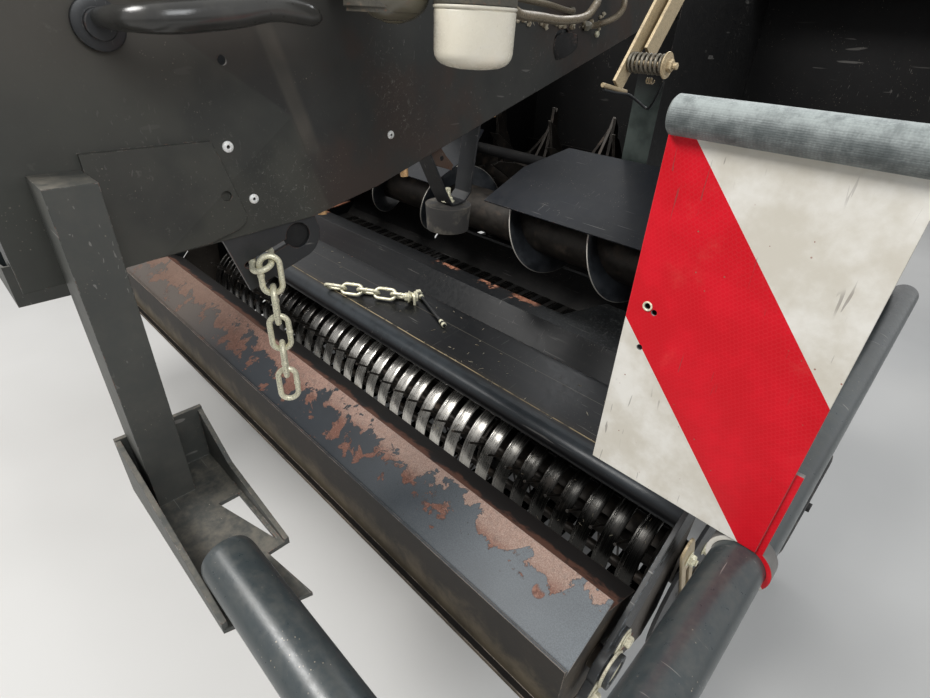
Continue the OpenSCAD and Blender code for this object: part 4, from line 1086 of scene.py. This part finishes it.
grip.add(*tube(handle, grip_width, 26))
grip.piece("handle_grip", "grip", "frame", 60, ("grab_handle",))
foot = Mesh()
stack(foot, (SHIELD_X, -2.222, -0.273), X, ((0.03, 0.008), (0.018, 0.008)), 28)
foot.piece("handle_foot", "black_paint", "frame")

# ---------------- pipes and filter
PIPE_BACK = -1.798 + AIR
FILTER_Z = -0.23
pipes = Mesh()
fittings = Mesh()
LINES = (
    (0.0076, [(0.74, PIPE_BACK, -0.194), (0.735, -1.765, -0.2), (0.712, -1.73, -0.222), (0.69, -1.685, -0.234),
              (0.67, -1.602, -0.236), (0.655, -1.522, -0.238), (0.645, -1.45, -0.234), (0.64, -1.41, -0.226),
              (0.635, -1.385, -0.213), (0.625, -1.359, -0.199), (0.6, -1.33, -0.172), (0.54, -1.35, -0.152),
              (0.4605, -1.371, -0.152)]),
    (0.0058, [(0.69, PIPE_BACK, -0.2), (0.686, -1.765, -0.202), (0.67, -1.709, -0.207), (0.62, -1.576, -0.2105),
              (0.56, -1.43, -0.2116), (0.505, -1.295, -0.2152), (0.478, -1.23, -0.2146),
              (0.4605, -1.2114, -0.2143)]),
    (0.0072, [(0.4605, -1.15, -0.243), (0.472, -1.128, -0.242), (0.5, -1.121, -0.234), (0.52, -1.103, -0.221),
              (0.53, -1.094, -0.204), (0.53, -1.092, -0.185), (0.516, -1.084, -0.16), (0.4605, -1.08, -0.15)]),
)
for r, line in LINES:
    curve = spline(line, 8)
    pipes.add(*tube(curve, r, 16))
    for at, way in ((curve[0], curve[1] - curve[0]), (curve[-1], curve[-2] - curve[-1])):
        m = placed(at, way)
        fittings.add(*hex_head(r * 2.1, 0.015), m)
        fittings.add(*lathe([(0.0001, 0.014), (r * 1.35, 0.014), (r * 1.2, 0.021), (0.0001, 0.021)], 18), m)
pipes.piece("oil_lines", "pipe_steel", "frame", 50, ("oil_pipes",))
for x in (0.665, 0.705, 0.76):
    bolt(fittings, (x, -1.8905, FILTER_Z + 0.04), (0, -1, 0), 0.01)
fittings.piece("line_fittings", "oily", "frame")

bowl = Mesh()
bowl.add(*lathe([(0.0001, -0.04), (0.009, -0.0398), (0.016, -0.038), (0.0185, -0.0362), (0.02, -0.0366),
                 (0.027, -0.0345), (0.0345, -0.03), (0.0372, -0.0268), (0.0392, -0.0266), (0.044, -0.0215),
                 (0.048, -0.014), (0.0496, -0.006), (0.05, 0.001), (0.0528, 0.003), (0.0528, 0.0085),
                 (0.0495, 0.011), (0.0001, 0.011)], 64), Matrix.Translation((0.6555, -1.91, FILTER_Z + 0.014)))
bowl.piece("filter_bowl", "oily", "frame", 40)
can = Mesh()
can.add(*lathe([(0.0001, 0.0), (0.054, 0.0), (0.0568, -0.001), (0.057, -0.003), (0.0562, -0.0042),
                (0.0548, -0.0046), (0.0546, -0.0056), (0.0556, -0.0064), (0.0556, -0.014), (0.055, -0.054),
                (0.0536, -0.06), (0.0505, -0.065), (0.0455, -0.069), (0.037, -0.0722), (0.024, -0.0742),
                (0.01, -0.0749), (0.0001, -0.075)], 72), Matrix.Translation((0.747, -1.844, FILTER_Z - AIR)))
can.piece("filter_can", "cream_paint", "frame", 40, ("filter_canister",))

# ---------------- latch details
latch = Mesh()
end_x = SPRING_X + SPRING_L + AIR
dish = [(0.0052, -0.0002), (0.018, 0.0004), (0.0228, 0.0016), (0.0232, 0.003), (0.0224, 0.0044), (0.017, 0.0034),
        (0.0052, 0.003)]
latch.add(*lathe(dish, 40), placed((end_x, LATCH.y, LATCH.z), X))
bolt(latch, (end_x + 0.003, LATCH.y, LATCH.z), X, 0.0125, stub=0.01)
latch.piece("latch_nut", "tan_zinc", "frame")
wires = Mesh()
wires.add(*tube(spline([(0.742, -1.475, -0.345), (0.744, -1.43, -0.352), (0.746, -1.385, -0.357),
                        (0.75, -1.345, -0.372), (0.76, -1.325, -0.384), (0.776, -1.34, -0.378),
                        (0.796, -1.362, -0.352), (0.81, -1.38, -0.328), (0.8105, -1.388, -0.312)], 8), 0.0026, 10))
wires.piece("latch_wire", "black_paint", "frame", 60)
loops = Mesh()
ring = []
for i in range(50):
    y, z = circle(i, 16, 0.005)
    ring.append(Vector((0.77 + 0.0003 * i, -1.368 + y, -0.33 + z)))
loops.add(*tube(ring, 0.0011, 8))
loops.add(*tube([(0.741, -1.48, -0.337), (0.742, -1.44, -0.344), (0.743, -1.392, -0.352)], 0.0042, 12))
loops.piece("latch_loops", "tan_zinc", "frame", 60)

# ---------------- fittings beside the roller's end
RAIL_X = 1.1985
FLANGE_X = ARM_X + 0.008
# Slotted rails for the height setting, their bolts and the kinked strips below
rails = Mesh()
rail_bolts = Mesh()
kinks = Mesh()
for sign in (1, -1):
    plate(rails, sign, RAIL_X, 0.006, capsule((-1.66, -1.085), (-1.455, -1.44), 0.024),
          capsule((-1.59, -1.206), (-1.5, -1.362), 0.0075))
    bolt(rail_bolts, (sign * (RAIL_X + 0.006), -1.626, -1.142), (sign, 0, 0), 0.014, stub=0.006)
    bolt(rail_bolts, (sign * 1.198, -1.434, -1.29), (sign, 0, 0), 0.014)
    knee = [(sign * 1.2065, -1.545, -1.35), (sign * 1.207, -1.5, -1.42), (sign * 1.208, -1.42, -1.56),
            (sign * 1.209, -1.38, -1.64)]
    kinks.add(*tube(knee, 0.0028, 8))
rails.piece("height_rails", "tan_zinc", "pickup", 30)
rail_bolts.piece("height_bolts", "zinc", "pickup")
kinks.piece("kinked_strips", "tan_zinc", "pickup", 60)

# Oval bearing flanges on the guard's arms
brackets = Mesh()
lean = radians(40.0)
off = Vector((cos(lean), sin(lean))) * 0.06
mid = Vector((ROLLER.y, ROLLER.z))
for sign in (1, -1):
    plate(brackets, sign, FLANGE_X, 0.003, capsule(mid - off, mid + off, 0.0225))
    for side in (1, -1):
        at = mid + off * side
        bolt(brackets, (sign * (FLANGE_X + 0.003), at.x, at.y), (sign, 0, 0), 0.014)
    stack(brackets, (sign * (FLANGE_X + 0.003), mid.x, mid.y), (sign, 0, 0), ((0.04, 0.006), (0.034, 0.006)), 32)
brackets.piece("bearing_flanges", "bearing_cream", "guard")

# ---------------- tyres
TYRE_W = 0.11
TYRE_X = SIDE_X + 0.034
WHEEL = Vector((0.0, -0.83, -1.5))


def tyre(sign):
    """A tyre with four ribs in the middle of its tread and a row of blocks on each shoulder."""
    mesh = Mesh()
    ribs = [(0.1053, 0.012), (0.118, 0.001), (0.128, 0.0), (0.13, -0.002), (0.134, -0.002), (0.136, 0.0),
            (0.164, -0.003), (0.179, 0.001), (0.188, 0.008), (0.193, 0.016), (0.1975, 0.022)]
    center = []
    for a, b in ((0.024, 0.034), (0.04, 0.05), (0.06, 0.07), (0.076, 0.086)):
        center += [(0.1935, a - 0.0015), (0.1995, a), (0.2, (a + b) / 2), (0.1995, b), (0.1935, b + 0.0015)]
    prof = ribs + center + [(r, TYRE_W - x) for r, x in reversed(ribs)]
    m = Matrix.Translation((sign * TYRE_X, WHEEL.y, WHEEL.z)) @ Matrix.Rotation(sign * pi / 2, 4, "Y")
    mesh.add(*lathe(prof, 96), m)
    for k in range(60):
        a = 2 * pi * k / 60
        for z0, z1 in ((0.01, 0.021), (0.089, 0.1)):
            block = []
            for da, z in ((-0.022, z0), (0.022, z0), (0.022, z1), (-0.022, z1)):
                for r in (0.186, 0.1965 if abs(z - TYRE_W / 2) < 0.04 else 0.19):
                    block.append((r * cos(a + da), r * sin(a + da), z))
            mesh.add(block, [(0, 2, 4, 6), (1, 7, 5, 3), (0, 1, 3, 2), (2, 3, 5, 4), (4, 5, 7, 6), (6, 7, 1, 0)], m)
    side = "right" if sign > 0 else "left"
    mesh.piece("ribbed_tyre_" + side, "tyre", "wheel_" + side, 35, ("gauge_tyre_" + side,))


tyre(1)
tyre(-1)


# ---------------- straw, crumbs and dirt
def bit(mesh, at, normal, length, width, lift=0.0):
    """One short, slightly bent stalk lying on a face."""
    normal = Vector(normal).normalized()
    way = normal.orthogonal().normalized()
    way = Matrix.Rotation(uniform(0, 2 * pi), 3, normal) @ way
    side = normal.cross(way)
    bow = uniform(-0.25, 0.25) * length
    pts = []
    for i in range(5):
        f = i / 4 - 0.5
        pts.append(Vector(at) + way * (f * length) + side * (bow * (f * f - 0.25)) + normal * (lift + width
                   + uniform(0.0, 0.0008)))
    mesh.add(*tube(pts, lambda f: width * (1 - 0.5 * abs(2 * f - 1)), 5))


def crumb(mesh, at, size):
    """A small lump with an uneven skin."""
    verts, faces = lathe([(0.0001, -0.5), (0.38, -0.34), (0.52, 0.0), (0.36, 0.33), (0.0001, 0.48)], 6)
    shift = Vector((uniform(0, 50), 0, 0))
    out = []
    for v in verts:
        q = Vector(v)
        out.append(q * size * (1 + 0.5 * noise.noise(q * 2.2 + shift)))
    spin = Matrix.Rotation(uniform(0, 6.28), 4, "Z") @ Matrix.Rotation(uniform(0, 3.1), 4, "X")
    mesh.add(out, faces, Matrix.Translation(Vector(at)) @ spin)


straw = Mesh()
for i in range(70):
    y = -1.6 + uniform(0.0, 0.195)
    bit(straw, (uniform(-1.1, 1.1), y, guard_top(y)), (0, -0.087, 1), uniform(0.004, 0.014),
        uniform(0.0004, 0.001))
for i in range(90):
    y = SEAM_Y + gauss(0, 0.0012)
    crumb(straw, (uniform(-1.15, 1.15), y, guard_top(y) + 0.0004), uniform(0.001, 0.0026))
straw.piece("guard_straw", "straw", "guard", 60)

chaff = Mesh()
DROPS = ((-1.411, -0.223), (-1.4, -0.24), (-1.385, -0.235), (-1.366, -0.242), (-1.318, -0.243), (-1.306, -0.246),
         (-1.268, -0.241), (-1.248, -0.246), (-1.236, -0.243), (-1.206, -0.243), (-1.197, -0.247), (-1.15, -0.242),
         (-1.116, -0.241), (-1.083, -0.241), (-1.074, -0.222))
for y, z in DROPS:
    for k in range(5):
        crumb(chaff, (0.4615 + uniform(0, 0.002), y + gauss(0, 0.0045), z + gauss(0, 0.0035)),
              uniform(0.004, 0.0105) * (1.0 if k else 1.5))
for i in range(26):
    bit(chaff, (0.4625, uniform(-1.42, -1.06), -0.241 + gauss(0, 0.004)), (1, 0, 0.2),
        uniform(0.005, 0.013), uniform(0.0004, 0.0009), 0.0006)
for i in range(60):
    bit(chaff, (uniform(0.47, 0.74), -1.889 + uniform(0.0, 0.088), FILTER_Z + 0.0645), (0, 0, 1),
        uniform(0.006, 0.02), uniform(0.0004, 0.001))
chaff.piece("frame_chaff", "straw", "frame", 60)

lodged = Mesh()
for i in range(110):
    x = (randint(0, BAND_N - 1) - (BAND_N - 1) / 2) * BAND_PITCH + uniform(-0.012, 0.012)
    out = outward(uniform(95, 185))
    bit(lodged, Vector((x, 0, 0)) + REEL + out * (BAND_R + 0.0006), out, uniform(0.005, 0.014),
        uniform(0.0004, 0.0008))
lodged.piece("lodged_straw", "straw", "pickup", 60)

# ---------------- floor, lights, camera
t = Tree("studio_floor")
t.color = t.mix(t.ramp(t.noise(0.8), 0.3, 0.7), (0.62, 0.61, 0.59), (0.68, 0.67, 0.65))
t.finish(0.85, t.bump(t.noise(60.0), 0.001, 0.2))
FLOOR_HALF = 14.0
FLOOR_Z = -1.828
corners = [(x * FLOOR_HALF, y * FLOOR_HALF, FLOOR_Z) for x, y in ((-1, -1), (1, -1), (1, 1), (-1, 1))]
floor_mesh = bpy.data.meshes.new("studio_floor")
floor_mesh.from_pydata(corners, [], [(0, 1, 2, 3)])
floor_mesh.materials.append(MATS["studio_floor"])
floor = bpy.data.objects.new("studio_floor", floor_mesh)
bpy.context.scene.collection.objects.link(floor)


def area_light(name, at, target, power, width, height, color=(1, 1, 1)):
    data = bpy.data.lights.new(name, "AREA")
    data.shape = "RECTANGLE"
    data.size = width
    data.size_y = height
    data.energy = power
    data.color = color
    obj = bpy.data.objects.new(name, data)
    obj.location = at
    obj.rotation_euler = (Vector(target) - Vector(at)).to_track_quat("-Z", "Y").to_euler()
    bpy.context.scene.collection.objects.link(obj)


area_light("key", (-1.2, -4.6, 3.4), (0.3, -1.4, -1.0), 290.0, 2.4, 1.6, (1.0, 0.985, 0.96))
area_light("fill", (4.2, -2.6, 2.2), (0.6, -1.4, -0.9), 105.0, 2.2, 2.2, (0.95, 0.98, 1.0))
area_light("back", (-0.6, 2.8, 3.0), (0.0, -1.2, -0.8), 110.0, 3.0, 1.5, (0.96, 0.98, 1.0))

world = bpy.data.worlds.new("studio")
bpy.context.scene.world = world
world.use_nodes = True
sky = world.node_tree
sky.nodes.clear()


def backdrop(color, strength):
    node = sky.nodes.new("ShaderNodeBackground")
    node.inputs[0].default_value = (*color, 1)
    node.inputs[1].default_value = strength
    return node.outputs[0]


# Camera, transmission and glossy rays see the pale backdrop, and the rest the dimmer light
paths = sky.nodes.new("ShaderNodeLightPath").outputs
seen = paths["Is Camera Ray"]
for kind in ("Is Transmission Ray", "Is Glossy Ray"):
    either = sky.nodes.new("ShaderNodeMath")
    either.operation = "MAXIMUM"
    sky.links.new(seen, either.inputs[0])
    sky.links.new(paths[kind], either.inputs[1])
    seen = either.outputs[0]
blend = sky.nodes.new("ShaderNodeMixShader")
sky.links.new(seen, blend.inputs[0])
sky.links.new(backdrop((0.86, 0.9, 0.95), 0.26), blend.inputs[1])
sky.links.new(backdrop((0.93, 0.93, 0.93), 0.95), blend.inputs[2])
sky.links.new(blend.outputs[0], sky.nodes.new("ShaderNodeOutputWorld").inputs[0])

scene = bpy.context.scene
cam_data = bpy.data.cameras.new("photo_camera")
cam_data.sensor_width = 36.0
cam_data.lens = 524.0 / 930.0 * 36.0
cam_data.clip_start = 0.02
cam = bpy.data.objects.new("photo_camera", cam_data)
# The photo's camera: its right, backward and upward directions
right = Vector((0.713, 0.699, 0.047)).normalized()
back = Vector((0.577, -0.623, 0.528))
back = (back - right * back.dot(right)).normalized()
up = back.cross(right)
cam.matrix_world = Matrix.Translation((1.323, -2.45, -0.25)) @ Matrix((right, up, back)).transposed().to_4x4()
scene.collection.objects.link(cam)
scene.camera = cam
scene.view_settings.view_transform = "Standard"
